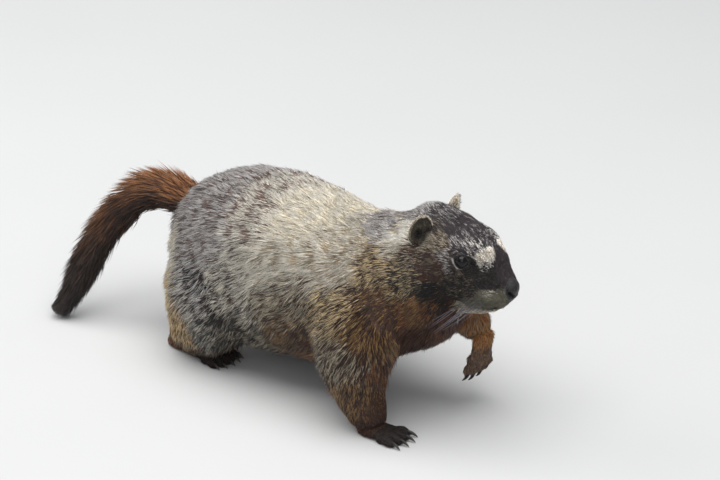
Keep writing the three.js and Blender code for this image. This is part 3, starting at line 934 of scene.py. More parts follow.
def ear_shell(side):
    """One ear: a shallow cup with a rolled rim. For the angle a from its pole to its rim and q round
    it, the outer face is (-depth * cos a, width * sin a * cos q, height * sin a * sin q), the inner
    face is the same less the wall, and the rear of the rim stands further out than its front."""
    wall = EAR_WALL
    outer = np.linspace(0.03, np.pi / 2, 12)
    inner = outer[::-1]
    roll = np.linspace(0, np.pi, 5)[1:-1]
    swell = (1 - np.cos(roll)) * wall / 2

    def outline(half):
        return np.concatenate([half * np.sin(outer), half - swell, (half - wall) * np.sin(inner)])
    depth = np.concatenate([-EAR_DEPTH * np.cos(outer), wall * 0.45 * np.sin(roll),
                            -(EAR_DEPTH - wall) * np.cos(inner)])
    across, above = outline(EAR_HALF_WIDTH), outline(EAR_HALF_HEIGHT)
    q = np.arange(40) * 2 * np.pi / 40
    rear = np.cos(q) * side
    notch = 1.2 * (np.sin(q) < -0.6) * (np.abs(np.sin(q)) - 0.6) * 2.5
    rim = (across / EAR_HALF_WIDTH)[:, None] ** 2
    out = depth[:, None] + rim * (EAR_LEAN * rear - notch)[None]
    local = np.stack([out, across[:, None] * np.cos(q)[None], above[:, None] * np.sin(q)[None]], -1)
    points = local.reshape(-1, 3) @ np.stack(ear_axes(side), 0) + np.array(mirrored(EAR_AT, side))
    return outward(from_head(points), tube_faces(len(depth), 40))


def ear_floor(share):
    """How deep the middle of an ear's wall lies, at a share of the way from its middle to its rim."""
    return -(EAR_DEPTH - EAR_WALL / 2) * np.sqrt(np.clip(1 - share, 0, 1))


def ear_share(local, less=0.0):
    """The square of the share of the way from an ear's middle to its rim, or to a line inside it."""
    width, height = EAR_HALF_WIDTH - less, EAR_HALF_HEIGHT - less
    return (local[:, 1] / width) ** 2 + (local[:, 2] / height) ** 2


def shape_ear_dents(head):
    """The skull is hollow where an ear's cup lies in it."""
    for side in (LEFT, RIGHT):
        local = in_ear(head, side)
        share = ear_share(local, 0.6)
        floor = ear_floor(share)
        near = (share < 1) & (local[:, 0] > floor) & (local[:, 0] < 14)
        local[:, 0] = np.where(near, floor, local[:, 0])
        head = local @ np.stack(ear_axes(side), 0) + np.array(mirrored(EAR_AT, side))
    return head


def shape_face(head):
    """Lids, nostrils, the cleft under the nose, and the line of the mouth."""
    head = shape_lids(shape_muzzle(head))
    for side in (LEFT, RIGHT):
        head = groove(head, on_side(NOSTRIL_LINE, side), 1.7, 3.8, (66, 0, -5))
        head = groove(head, on_side(MOUTH_LINE, side), 1.8, 4.2, (48, 0, -28))
        head = groove(head, on_side(NOSE_WING, side), 1.4, 1.3, (64, 0, -6))
    return groove(head, CLEFT, 1.0, 1.6, (58, 0, -14))


def skin_masks(head):
    """Where the skin is bare: nose pad, lid edges, pale eye ring, ear hollows and lips, from 0 to 1."""
    nose = np.linalg.norm((head - np.array(NOSE_PAD_AT)) / np.array(NOSE_PAD), axis=1)
    nose = 1 - smooth_step(0.95, 1.12, nose)
    lids = np.zeros(len(head))
    ring = np.zeros(len(head))
    ears = np.zeros(len(head))
    for side in (LEFT, RIGHT):
        share, forward, upward, far, _ = around_eye(head, side)
        near = far < 14
        lids = np.maximum(lids, near * (1 - smooth_step(1.35, 1.6, share)))
        rear = smooth_step(20, -30, forward) * 0.7 + smooth_step(10, -30, upward) * 0.5
        ring = np.maximum(ring, near * np.clip(rear, 0, 1) * np.exp(-((share - 1.85) / 0.35) ** 2))
        local = in_ear(head, side)
        share = ear_share(local)
        back = ear_floor(share) + EAR_LEAN * local[:, 1] * side / EAR_HALF_WIDTH * share
        ears = np.maximum(ears, (share < 0.9) & (local[:, 0] > back) & (local[:, 0] < 2))
    # The mouth's line: bare of hair, and painted dark in the skin's material as the shade in its slit.
    mouth = np.exp(-(line_distance(aside(head), MOUTH_LINE) / 2.6) ** 2)
    return {"nose": nose, "lids": lids, "ring": ring, "ears": ears, "mouth": mouth}


def pit_shade_mask(head):
    """Painted shade in the nostrils and the ear canals: how dark they are painted, from 0 to 1."""
    nostril = np.array(NOSTRIL_LINE) - (1.5, 0, 0)
    pit_shade = 1 - smooth_step(1.0, 2.2, line_distance(aside(head), nostril))
    for side in (LEFT, RIGHT):
        deep = np.linalg.norm((in_ear(head, side) - EAR_CANAL_AT) / EAR_CANAL, axis=1)
        pit_shade = np.maximum(pit_shade, 1 - smooth_step(0.55, 1.1, deep))
    return pit_shade


def joined_mesh(first, second):
    """One mesh of two, in that order."""
    work = bmesh.new()
    work.from_mesh(first)
    work.from_mesh(second)
    result = bpy.data.meshes.new("skin")
    work.to_mesh(result)
    work.free()
    return result


def build_skin():
    """The flesh, made one by voxels, smoothed, and drawn in by the coat's depth. The face is then
    cut finer and shaped, and ears and paws are added. The attribute on_ear marks the ears' points."""
    shapes = [swollen_copy(node) for node in FLESH]
    shapes.append(tail_core())
    points, faces = together(shapes)
    mesh = voxel_mesh(new_mesh("flesh", points, [part for part in faces if len(part)]), VOXEL)
    points = in_body_measure(mesh)
    amount = 0.03 + 0.55 * body_smoothness(points)[:, None]
    points = relaxed(points, edges_of(mesh), 80, amount)
    set_points(mesh, points)
    depth = coat_at(points).depth * tail_free(points)
    points = relaxed(points - normals_of(mesh) * depth[:, None], edges_of(mesh), 4, 0.4)
    set_points(mesh, points)
    for region, rounds in ((face_region, 4), (fine_region, 3), (eye_region, 2)):
        refined(mesh, region)
        points = in_body_measure(mesh)
        near = region(to_head(points))
        set_points(mesh, relaxed(points, edges_of(mesh), rounds, 0.5 * near[:, None]))
    points = from_head(shape_ear_dents(shape_face(to_head(in_body_measure(mesh)))))
    set_points(mesh, points)
    ears = new_mesh("ears", *together([ear_shell(LEFT), ear_shell(RIGHT)]))
    paws = new_mesh("paws", *together([paw_flesh(name) for name in PAW_PLACES]))
    counts = len(mesh.vertices), len(ears.vertices), len(paws.vertices)
    mesh = joined_mesh(joined_mesh(mesh, ears), paws)
    points = in_body_measure(mesh)
    points[:, 2] = np.maximum(points[:, 2], 0.0)
    set_points(mesh, points)
    set_numbers(mesh, "on_ear", np.repeat((0.0, 1.0, 0.0), counts))
    return mesh


def tail_free(points):
    """Zero along the tail, whose flesh is already slim, and one elsewhere."""
    return smooth_step(-212, -190, points[:, 0])


# The coat

def roots_on(mesh, count, density, chance):
    """Evenly spread random places on a mesh's triangles: the triangle, and its corners' shares."""
    mesh.calc_loop_triangles()
    corners = np.empty(len(mesh.loop_triangles) * 3, np.int32)
    mesh.loop_triangles.foreach_get("vertices", corners)
    corners = corners.reshape(-1, 3)
    points = in_body_measure(mesh)
    a, b, c = (points[corners[:, k]] for k in range(3))
    area = np.linalg.norm(np.cross(b - a, c - a), axis=1) / 2 * density(corners)
    ladder = np.cumsum(area)
    picks = (np.arange(count) + chance.uniform(0, 1, count)) / count * ladder[-1]
    triangle = np.minimum(np.searchsorted(ladder, picks), len(corners) - 1)
    u, v = chance.uniform(0, 1, (2, count))
    flip = u + v > 1
    u, v = np.where(flip, 1 - u, u), np.where(flip, 1 - v, v)
    shares = np.stack([1 - u - v, u, v], 1)
    return corners[triangle], shares


def blended(values, corners, shares):
    return (values[corners] * shares[..., None]).sum(1)


def tuft_mesh(roots, normals, lies, length, width, lift, rings, bend=BEND):
    """Closed three-sided tufts, each a bent spindle from its root to its tip. Its middle line is
    root + length * (t * lie + (t - bend * t^2) * tan(lift) * normal), and a ring of three corners
    stands at each of the places in rings, which pair t with a share of the width."""
    count = len(roots)
    t = np.array([0.0, *(place for place, _ in rings), 1.0])
    wide = np.array([share for _, share in rings])
    side = unit(np.cross(normals, lies))
    rise = np.tan(np.radians(lift))[:, None, None] * (t - bend * t ** 2)[None, :, None]
    step = t[None, :, None] * lies[:, None] + rise * normals[:, None]
    line = roots[:, None] + length[:, None, None] * step
    line[:, 0] -= 0.3 * normals
    angle = np.radians((90, 210, 330))
    section = (side[:, None] * np.cos(angle)[None, :, None]
               + 0.6 * normals[:, None] * np.sin(angle)[None, :, None])
    half = width[:, None, None, None] / 2 * wide[None, :, None, None]
    ring_points = (line[:, 1:-1, None] + half * section[:, None]).reshape(count, len(rings) * 3, 3)
    points = np.concatenate([line[:, :1], ring_points, line[:, -1:]], 1)
    start = (np.arange(count) * points.shape[1])[:, None, None]
    end = len(rings) * 3 + 1
    after = (1, 2, 0)
    quads = [[r * 3 + 1 + k, r * 3 + 1 + after[k], r * 3 + 4 + after[k], r * 3 + 4 + k]
             for r in range(len(rings) - 1) for k in range(3)]
    first = [[0, 1 + after[k], 1 + k] for k in range(3)]
    last = [[end - 3 + k, end - 3 + after[k], end] for k in range(3)]
    kinds = [part for part in (quads, first + last) if part]
    faces = [(start + np.array(part)[None]).reshape(-1, len(part[0])) for part in kinds]
    along = np.concatenate([t[:1], np.repeat(t[1:-1], 3), t[-1:]])
    across = np.concatenate([(0.0,), np.tile((0.0, -1.0, 1.0), len(rings)), (0.0,)])
    return points, faces, along, across


SHORT_RINGS = ((0.36, 1.0),)
LONG_RINGS = ((0.22, 0.95), (0.62, 0.8))
PATCH = 0.003  # how wide a tuft's patch is on the baking map


def finish_coat(name, points, faces, along, across, unwrap, under, tip, strand, material):
    """The coat piece, with its colours and its baking map: a small patch at each root's place."""
    count = len(unwrap)
    flat = points.reshape(-1, 3)
    flat[:, 2] = np.maximum(flat[:, 2], 0.2)
    mesh = new_mesh(name, flat, faces)
    each = points.shape[1]
    patch = np.stack([across * 0.5, along - 0.5], 1) * PATCH
    places = (unwrap[:, None] * (1 - 3 * PATCH) + 1.5 * PATCH + patch[None]).reshape(-1, 2)
    corners = np.empty(len(mesh.loops), np.int32)
    mesh.loops.foreach_get("vertex_index", corners)
    layer = mesh.uv_layers.new(name="OFBake")
    layer.data.foreach_set("uv", places[corners].astype(np.float32).ravel())
    set_numbers(mesh, "along", np.tile(along, count))
    set_numbers(mesh, "strand", np.repeat(strand, each))
    set_colours(mesh, "under", np.repeat(under, each, axis=0))
    set_colours(mesh, "tip", np.repeat(tip, each, axis=0))
    return new_piece(name, mesh, material)


def spread(values):
    """Values stretched to run from 0 to 1."""
    low, high = values.min(0), values.max(0)
    return (values - low) / np.maximum(high - low, 1e-9)


def unwrap_round(points, middle, axis, reference):
    """An unwrap round an axis: the angle about it and the distance along it, each from 0 to 1."""
    axis = unit(np.asarray(axis, float))
    across = unit(np.cross(axis, reference))
    up = np.cross(across, axis)
    step = points - np.asarray(middle, float)
    angle = np.arctan2(step @ across, step @ up)
    return spread(np.stack([angle, step @ axis], 1))


LOCK_REACH = 4.0  # a tuft whose tip is twice this far from its lock's mean isn't drawn to it


def clumped(points, lock, along, share):
    """The tips of one lock lean towards their mean."""
    counts = np.bincount(lock)
    mean_tip = np.stack([np.bincount(lock, points[:, -1, k]) for k in range(3)], 1) / counts[:, None]
    pull = mean_tip[lock] - points[:, -1]
    near = np.clip(2 - np.linalg.norm(pull, axis=1, keepdims=True) / LOCK_REACH, 0, 1)
    return points + share * (pull * near)[:, None] * (along ** 2)[None, :, None]


def bare_skin(head):
    """Where no hair grows: lids, nose pad and the mouth's line, from 0 to 1."""
    bare = skin_masks(head)
    total = bare["nose"] * 1.3 + bare["lids"] * 1.3 + bare["ring"] * 0.8 + bare["mouth"] * 1.4
    return np.clip(total, 0, 1)


def band_of(points, head):
    """The number of each point's band in BANDS."""
    bands = list(BANDS)
    number = {place: i for i, (_, places) in enumerate(BANDS.values()) for place in places}
    table = np.array([number.get(name, -1) for name in COAT_ROWS])
    result = table[coat_at(points).place]
    head_band = np.where(head[:, 1] > 0, bands.index("head_left"), bands.index("head_right"))
    return np.where(result < 0, head_band, result)


MIDDLE_OF_LEGS = {  # the middles of the left and the right leg
    "forelegs": ((75, 55, 60), (85, -55, 60)),
    "hindlegs": ((-80, 62, 60), (-122, -62, 60)),
}
MIDDLE_OF_BODY, MIDDLE_OF_HEAD = (0, 0, 96), (0, 0, -6)
FORWARD = (1, 0, 0)


def unwrap_band(name, roots, head):
    """A band's unwrap: round the head, round each leg, or round the body, with the cut away from it."""
    if name.startswith("head"):
        return unwrap_round(head, MIDDLE_OF_HEAD, FORWARD, UP)
    if name in MIDDLE_OF_LEGS:
        left = roots[:, 1] > 0
        halves = [unwrap_round(roots, middle, UP, (0, 1, 0)) for middle in MIDDLE_OF_LEGS[name]]
        result = np.where(left[:, None], *halves)
        result[:, 0] = result[:, 0] * 0.48 + np.where(left, 0, 0.52)
        return result
    reference = UP if name == "back" else (0, 0, -1)
    if name.startswith(("flank", "low")):
        reference = (0, 1, 0) if name.endswith("left") else (0, -1, 0)
    return unwrap_round(roots, MIDDLE_OF_BODY, FORWARD, reference)


def lay(lies, normals):
    """Lies made to follow the skin."""
    return unit(lies - (lies * normals).sum(1, keepdims=True) * normals)


EAR_HAIR = {  # length, share of pale tips, lower colour and tip colour, in the hollow and outside it
    True: (3.0, 0.45, "dusk", "olive"),
    False: (4.0, 0.8, "sand", "cream"),
}
EAR_HAIR_WIDTH, EAR_HAIR_LIFT = 0.55, 20.0


def ear_hair(head, lies, pigments, chance):
    """Hair on the ears: it points outwards round the rim. The hollow is dark, the rim and back pale.
    Gives the lies, length, width, lift, lower colour and tip colour of each tuft."""
    count = len(head)
    side = np.where(head[:, 1] > 0, LEFT, RIGHT)
    for one in (LEFT, RIGHT):
        faces, across, above = ear_axes(one)
        local = in_ear(head, one)
        outwards = (local[:, 1:2] / EAR_HALF_WIDTH * across + local[:, 2:3] / EAR_HALF_HEIGHT * above)
        way = unit(outwards + 0.3 * above + 0.25 * faces)
        lies = np.where((side == one)[:, None], way @ HEAD_TURN.T, lies)
    hollow = skin_masks(head)["ears"] > 0.5
    inside, outside = EAR_HAIR[True], EAR_HAIR[False]
    length = np.where(hollow, inside[0], outside[0]) * chance.uniform(0.7, 1.2, count)
    pale = chance.uniform(0, 1, (count, 1)) < np.where(hollow, inside[1], outside[1])[:, None]
    lower = np.where(hollow[:, None], pigments[inside[2]], pigments[outside[2]])
    tips = np.where(hollow[:, None], pigments[inside[3]], pigments[outside[3]])
    tips = np.where(pale, tips, lower * 0.7)
    return lies, length, np.full(count, EAR_HAIR_WIDTH), np.full(count, EAR_HAIR_LIFT), lower, tips


PAW_TOP, PAW_HAIR = 13, 5  # below this height, hair is no longer than this
LENGTH_RANGE, WIDTH_RANGE = (0.7, 1.15), (0.75, 1.25)
TUFT_WIDTH = 0.88
EAR_DENSITY = 1.7


def thickness(skin, band):
    """How densely tufts of a band stand at each point of the skin."""
    points = in_body_measure(skin)
    head = to_head(points)
    member = band_of(points, head) == band
    hollow = skin_masks(head)["ears"]
    on_ear = numbers_of(skin, "on_ear")
    thick = coat_at(points).density * (1 - bare_skin(head)) * tail_free(points)
    return member * np.where(on_ear > 0.5, EAR_DENSITY * (1 - 0.5 * hollow), thick * (1 - hollow))


def shaded(under, tip, roots, lock, chance):
    """Lower and tip colours, made lighter and darker in soft clouds, lock by lock and tuft by tuft."""
    count = len(roots)
    of_lock = chance.normal(0, 0.2, lock.max() + 1)[lock]
    clouds = 0.14 * ripples(roots, 22, 6) + 0.08 * ripples(roots, 8, 7)
    shade = 1 + clouds + chance.normal(0, 0.14, count)
    under = under * np.clip(shade + of_lock, 0.4, 1.7)[:, None]
    return under, tip * np.clip(chance.normal(1, 0.1, count) + 0.6 * of_lock, 0.6, 1.3)[:, None]


def build_band(name, skin, settings, pigments, material):
    """One band of the coat: roots on the skin, then lie, lift, length and colour from their places."""
    count = BANDS[name][0]
    number = list(BANDS).index(name)
    chance = np.random.default_rng(settings.seed + number)
    mesh = skin.data
    thick = thickness(mesh, number)
    corners, shares = roots_on(mesh, count, lambda picked: thick[picked].mean(1) + 1e-9, chance)
    roots = blended(in_body_measure(mesh), corners, shares)
    normals = unit(blended(normals_of(mesh), corners, shares))
    coat = coat_at(roots)
    length, width, lies = coat.length, coat.width, coat.lies
    lock = lock_of(roots, lies)
    under, tip = paint_of_tufts(roots, lock, pigments, chance)
    length = length * chance.uniform(*LENGTH_RANGE, count)
    lift = coat.lift * (1 + 0.3 * ripples(roots, 15, 5))
    ears = blended(numbers_of(mesh, "on_ear")[:, None], corners, shares)[:, 0] > 0.5
    if ears.any():
        own = ear_hair(to_head(roots[ears]), lies[ears], pigments, chance)
        lies[ears], length[ears], width[ears], lift[ears], under[ears], tip[ears] = own
    lies = lay(lies, normals)
    if name.endswith("legs"):
        lies = np.where(lies[:, 2:] > 0.15, -lies, lies)
        length = np.where(roots[:, 2] < PAW_TOP, np.minimum(length, PAW_HAIR), length)
    wander = np.where(ears, 0.4, 1) * (11 * ripples(roots, 34, 3) + 9 * ripples(roots, 11, 4))
    turn = np.radians(wander + chance.normal(0, 8, count))
    lies = np.cos(turn)[:, None] * lies + np.sin(turn)[:, None] * np.cross(normals, lies)
    length = length * settings.length
    width = TUFT_WIDTH * width * chance.uniform(*WIDTH_RANGE, count) * settings.width
    lift = np.clip(lift + chance.normal(0, 4, count), 4, 60)
    made, faces, along, across = tuft_mesh(roots, normals, lies, length, width, lift, SHORT_RINGS)
    made = clumped(made, lock, along, settings.clumping)
    strand = chance.uniform(0, 1, count)
    under, tip = shaded(under, tip, roots, lock, chance)
    unwrap = unwrap_band(name, roots, to_head(roots))
    return finish_coat(f"coat_{name}", made, faces, along, across, unwrap, under, tip, strand,
                       material)


def tail_paint(place, facing_up, pigments, chance):
    """Lower and tip colours along the brush: rusty above and deep brown below, dark at the end. The
    darker underside is partly the hair's own colour and partly painted shade, and where a tuft faces
    down its pale tips grow rarer and dimmer.
    """
    end = smooth_step(2.5, 5.5, place)[:, None]
    top = smooth_step(-0.3, 0.9, facing_up)[:, None]
    dark = pigments["bister"] * (1 - end) * 0.7 + pigments["soot"] * end
    red = pigments["rust"] * (1 - end) + (pigments["soot"] * 0.6 + pigments["bister"] * 0.4) * end
    under = dark * (1 - top) + red * top
    bright = pigments["ginger"] * (1 - end) + pigments["umber"] * 0.7 * end
    # Painted shade: fewer pale tips, and tips dimmed to 0.35, where the tuft faces down.
    pale = chance.uniform(0, 1, (len(place), 1)) < 0.2 + 0.5 * top * (1 - 0.5 * end)
    return under, np.where(pale, bright * (0.35 + 0.65 * top), under * 0.6)


def build_tail_coat(settings, pigments, material):
    """The tail's brush: long tufts that start on its flesh, lie towards the tip and stand out."""
    count = TAIL_TUFTS
    chance = np.random.default_rng(settings.seed + 50)
    place = chance.uniform(0.55, TAIL_LAST - 0.55, count)
    angle = chance.uniform(-np.pi, np.pi, count)
    rows = curve(TAIL, place)
    along = unit(curve(TAIL, place + 0.01)[:, :3] - curve(TAIL, place - 0.01)[:, :3])
    side = unit(np.cross(np.array((0.0, 1.0, 0.0)), along))
    up = np.cross(along, side)
    normals = side * np.sin(angle)[:, None] + up * np.cos(angle)[:, None]
    core = tail_flesh_radius(rows[:, 3], place)
    roots = rows[:, :3] + normals * core[:, None] * 0.9
    length = TAIL_HAIR * chance.uniform(0.75, 1.1, count) * settings.length
    length = length * (1 - 0.25 * smooth_step(1.6, 0.8, place))
    left = np.linalg.norm(TAIL_END - rows[:, :3], axis=1)
    length = np.minimum(length, left * chance.uniform(0.8, 1.08, count) + 3)
    ending = curve(TAIL, np.minimum(place + length / 26, TAIL_LAST))
    gap = ending[:, 3] * chance.uniform(0.8, 1.05, count) - core
    lift = np.degrees(np.arctan2(gap / (1 - TAIL_BEND), length)) + chance.normal(0, 3, count)
    lift = np.clip(lift, -30, 58)
    lies = unit(ending[:, :3] - rows[:, :3] + 0.5 * along * length[:, None])
    lies = lay(unit(lies + 0.09 * chance.normal(size=(count, 3))), normals)
    width = TAIL_HAIR_WIDTH * chance.uniform(0.7, 1.2, count) * settings.width
    made, faces, t, across = tuft_mesh(roots, normals, lies, length, width, lift, LONG_RINGS, TAIL_BEND)
    made = clumped(made, lock_of(roots / 2, lies), t, settings.clumping)
    under, tip = tail_paint(place, normals[:, 2] + 0.25 * ripples(roots, 18, 9), pigments, chance)
    unwrap = np.stack([angle / (2 * np.pi) + 0.5, place / len(TAIL)], 1)
    strand = chance.uniform(0, 1, count)
    return finish_coat("coat_tail", made, faces, t, across, unwrap, under, tip, strand, material)


# Shader maths

class Value:
    """A number socket that can be used in Python arithmetic. Each operation adds one Math node."""

    def __init__(self, shader, socket):
        self.shader = shader
        self.socket = socket

    def maths(self, operation, *values):
        return self.shader.node("ShaderNodeMath", {"operation": operation}, dict(enumerate(values)))

    def __add__(self, other):
        return self.maths("ADD", self, other)

    def __sub__(self, other):
        return self.maths("SUBTRACT", self, other)

    def __rsub__(self, other):
        return self.maths("SUBTRACT", other, self)

    def __mul__(self, other):
        return self.maths("MULTIPLY", self, other)

    __radd__ = __add__
    __rmul__ = __mul__


class Shader:
    """A material in the making."""

    def __init__(self, name):
        old = bpy.data.materials.get(name)
        if old:
            bpy.data.materials.remove(old)
        self.material = bpy.data.materials.new(name)
        self.material.use_nodes = True
        self.nodes = self.material.node_tree.nodes
        self.surface = self.nodes["Principled BSDF"]

    def node(self, kind, settings=None, inputs=None, output=0):
        """Adds a node: settings first, then each input's value or link. Returns one output."""
        node = self.nodes.new(kind)
        for key, value in (settings or {}).items():
            setattr(node, key, value)
        for key, value in (inputs or {}).items():
            self.feed(node.inputs[key], value)
        return Value(self, node.outputs[output])

    def feed(self, socket, value):
        if isinstance(value, Value):
            self.material.node_tree.links.new(value.socket, socket)
        elif hasattr(value, "__len__") and len(value) == 3 and socket.type == "RGBA":
            socket.default_value = (*value, 1)
        else:
            socket.default_value = value

    def own(self, name, output="Fac"):
        """An attribute of the mesh."""
        return self.node("ShaderNodeAttribute", {"attribute_name": name}, output=output)

    def places(self, scale=(1, 1, 1)):
        """Object coordinates, scaled."""
        where = self.node("ShaderNodeTexCoord", output="Object")
        return self.node("ShaderNodeMapping", inputs={"Vector": where, "Scale": scale})

    def noise(self, scale, detail=3.0, roughness=0.55):
        inputs = {"Vector": self.places(), "Scale": scale, "Detail": detail, "Roughness": roughness}
        return self.node("ShaderNodeTexNoise", inputs=inputs)

    def colour_of(self, red, green, blue):
        """A colour of three numbers."""
        inputs = {"Red": red, "Green": green, "Blue": blue}
        return self.node("ShaderNodeCombineColor", inputs=inputs)

    def mix(self, factor, first, second, blend="MIX"):
        """Two colours mixed: sockets 6 and 7 of the Mix node are its colours, 2 its colour result."""
        settings = {"data_type": "RGBA", "blend_type": blend, "clamp_factor": True}
        return self.node("ShaderNodeMix", settings, {0: factor, 6: first, 7: second}, output=2)

    def ramp(self, value, low, high):
        """0 below low, 1 above high, smooth between."""
        settings = {"interpolation_type": "SMOOTHSTEP"}
        inputs = {"Value": value, "From Min": low, "From Max": high}
        return self.node("ShaderNodeMapRange", settings, inputs)

    def bump(self, height, strength, distance):
        inputs = {"Height": height, "Strength": strength, "Distance": distance}
        return self.node("ShaderNodeBump", inputs=inputs)

    def set(self, **inputs):
        for key, value in inputs.items():
            self.feed(self.surface.inputs[key.replace("_", " ")], value)
        return self.material


def coat_material(name):
    """Hair: dark at the root, its own colour in the middle, and its tip's colour over the last part."""
    shader = Shader(name)
    along = shader.own("along")
    strand = shader.own("strand")
    under = shader.own("under", "Color")
    tip = shader.own("tip", "Color")
    root = shader.mix(1.0, under, (0.42, 0.4, 0.4), "MULTIPLY")
    lower = shader.mix(shader.ramp(along, 0.05, 0.4), root, under)
    start = strand * 0.26 + 0.36
    colour = shader.mix(shader.ramp(along - start, 0.0, 0.18), lower, tip)
    light = shader.noise(900.0, 2.0) * 0.3 + 0.85
    colour = shader.mix(1.0, colour, shader.colour_of(light, light, light), "MULTIPLY")
    roughness = strand * 0.15 + 0.5
    return shader.set(Base_Color=colour, Roughness=roughness, Specular_IOR_Level=0.35,
                      Sheen_Weight=0.08, Sheen_Roughness=0.5)


def skin_material(colours):
    """Skin under the coat, in the coat's colours, with bare nose, lids, ears and lips."""
    shader = Shader("marmot skin")
    under = shader.own("under", "Color")
    tip = shader.own("tip", "Color")
    speckle = shader.noise(700.0, 4.0, 0.7)
    colour = shader.mix(shader.ramp(speckle, 0.5, 0.62) * 0.5, under, tip)
    inputs = {"Vector": shader.places(), "Scale": 1500.0}
    pores = shader.node("ShaderNodeTexVoronoi", {"feature": "F1"}, inputs)
    nose = shader.own("nose")
    leather = shader.mix(shader.ramp(pores, 0.15, 0.55), colours["slate"] * 0.6, colours["coal"])
    colour = shader.mix(nose, colour, leather)
    colour = shader.mix(shader.own("ring"), colour, colours["frost"] * 0.7)
    colour = shader.mix(shader.own("lids"), colour, colours["coal"])
    ear = shader.mix(shader.ramp(shader.noise(500.0), 0.35, 0.7), colours["dusk"], colours["olive"])
    colour = shader.mix(shader.own("ears") * 0.8, colour, ear)
    # Painted shade: the line of the mouth is painted near black, as the shade in the slit between the
    # lips.
    colour = shader.mix(shader.own("mouth") * 0.85, colour, colours["coal"])
    # Painted shade: the nostrils and ear canals are painted black, as the shade inside these openings.
    colour = shader.mix(shader.own("pit_shade"), colour, colours["coal"])
    rough = 0.72 - nose * 0.3 - shader.own("lids") * 0.45
    grain = shader.noise(1600.0, 3.0) * 0.5 + pores * nose
    return shader.set(Base_Color=colour, Roughness=rough, Specular_IOR_Level=0.4,
                      Normal=shader.bump(grain, 0.6, 0.0006))


PUPIL, IRIS_DARK, IRIS = (0.0015, 0.0015, 0.0018), (0.004, 0.0025, 0.002), (0.011, 0.006, 0.004)
EYE_RIM = (0.006, 0.005, 0.005)
HORN_TIP, WHISKER_TIP = (0.11, 0.085, 0.065), (0.28, 0.26, 0.3)
IRIS_EDGE = 50  # degrees from the middle of the pupil to the edge of the iris


def eye_material():
    """A wet, nearly black eye: a dark brown iris round a wide pupil."""
    shader = Shader("marmot eye")
    radius = shader.own("from_pupil")
    iris = shader.mix(shader.ramp(shader.noise(2500.0, 3.0), 0.3, 0.7), IRIS_DARK, IRIS)
    colour = shader.mix(shader.ramp(radius, 0.55, 0.7), PUPIL, iris)
    colour = shader.mix(shader.ramp(radius, 0.86, 0.98), colour, EYE_RIM)
    return shader.set(Base_Color=colour, Roughness=0.12, IOR=1.36, Specular_IOR_Level=0.3,
                      Coat_Weight=0.25, Coat_Roughness=0.04)


def claw_material(colours):
    """Dark horn, paler towards the tip, with fine lengthwise lines."""
    shader = Shader("marmot claw")
    along = shader.own("along")
    lines = shader.noise(2400.0, 2.0)
    colour = shader.mix(shader.ramp(along, 0.4, 1.0), colours["coal"], HORN_TIP)
    colour = shader.mix(lines * 0.35, colour, colours["soot"])
    return shader.set(Base_Color=colour, Roughness=lines * 0.2 + 0.3,
                      Normal=shader.bump(lines, 0.3, 0.0003))


def whisker_material(colours):
    """Stiff dark hair with a soft violet-grey shine."""
    shader = Shader("marmot whisker")
    colour = shader.mix(shader.ramp(shader.own("along"), 0.0, 0.8), colours["soot"], WHISKER_TIP)
    return shader.set(Base_Color=colour, Roughness=0.35, Specular_IOR_Level=0.6)


def floor_material():
    shader = Shader("studio floor")
    tone = shader.noise(3.0, 2.0) * 0.03 + 0.6
    return shader.set(Base_Color=shader.colour_of(tone, tone, tone * 0.98), Roughness=0.9,
                      Specular_IOR_Level=0.1)


# Eyes, claws and whiskers

def eye_shape(side, radius):
    """A ball round the eye's outward axis with a cornea: for the angle p from that axis, its radius
    is r + bulge * exp(-(p / 33)^4)."""
    rows, columns = 36, 48
    out, ahead, above = eye_axes(side)
    p = np.linspace(0.01, np.pi - 0.01, rows)
    q = np.arange(columns) * 2 * np.pi / columns
    p, q = np.meshgrid(p, q, indexing="ij")
    reach = radius + CORNEA * np.exp(-(np.degrees(p) / 33) ** 4)
    shape = (out * np.cos(p)[..., None] + ahead * (np.sin(p) * np.cos(q))[..., None]
             + above * (np.sin(p) * np.sin(q))[..., None]) * reach[..., None]
    points = from_head(np.array(mirrored(EYE_AT, side)) + shape.reshape(-1, 3))
    return *outward(points, tube_faces(rows, columns)), np.degrees(p).ravel() / IRIS_EDGE


WHISKER_ROWS = ((63, 15, -9), (58, 17.5, -11), (53, 19.5, -12.5), (48, 21, -14.5))
WHISKERS_IN_ROW = 3
WHISKER_SAG = np.array((-0.16, -0.12, -0.1))
WHISKER_RADIUS = 0.32


def whisker_shapes(settings):
    """Whiskers that sweep back and down from their pads: root + length * (t * way + t^2 * sag)."""
    chance = np.random.default_rng(7)
    shapes, alongs = [], []
    for side in (LEFT, RIGHT):
        for root in WHISKER_ROWS:
            for place in range(WHISKERS_IN_ROW):
                start = np.array(root) + np.array((-2.2 * place, 0.2 * place, -2.6 * place + 1.5))
                start = start + chance.normal(0, 0.5, 3)
                way = unit(np.array((-0.3, 0.44, -0.72 - 0.06 * place)) + chance.normal(0, 0.08, 3))
                length = settings.whiskers * chance.uniform(0.6, 1.0)
                t = np.linspace(0, 1, 7)[:, None]
                line = (start + length * (t * way + t ** 2 * WHISKER_SAG)) * np.array((1, side, 1))
                thin = WHISKER_RADIUS * (1 - 0.8 * t)
                stations = np.concatenate([from_head(line), thin, thin, thin], 1)
                points, faces = swept(stations, (0.2, 0.1, 1), 4, per_stretch=2, cap=1)
                shapes.append((points, faces))
                alongs.append(np.linspace(0, 1, len(points)))
    points, faces = together(shapes)
    return points, faces, np.concatenate(alongs)


# What a user would change

def colour_setting(name, description, hex_colour):
    return FloatVectorProperty(name=name, description=description, default=linear(hex_colour),
                               size=3, min=0, max=1, subtype="COLOR")


class MarmotColours(bpy.types.PropertyGroup):
    __annotations__ = {
        key: colour_setting(key.capitalize(), description, hex_colour)
        for key, (description, hex_colour) in PIGMENTS.items()
    }


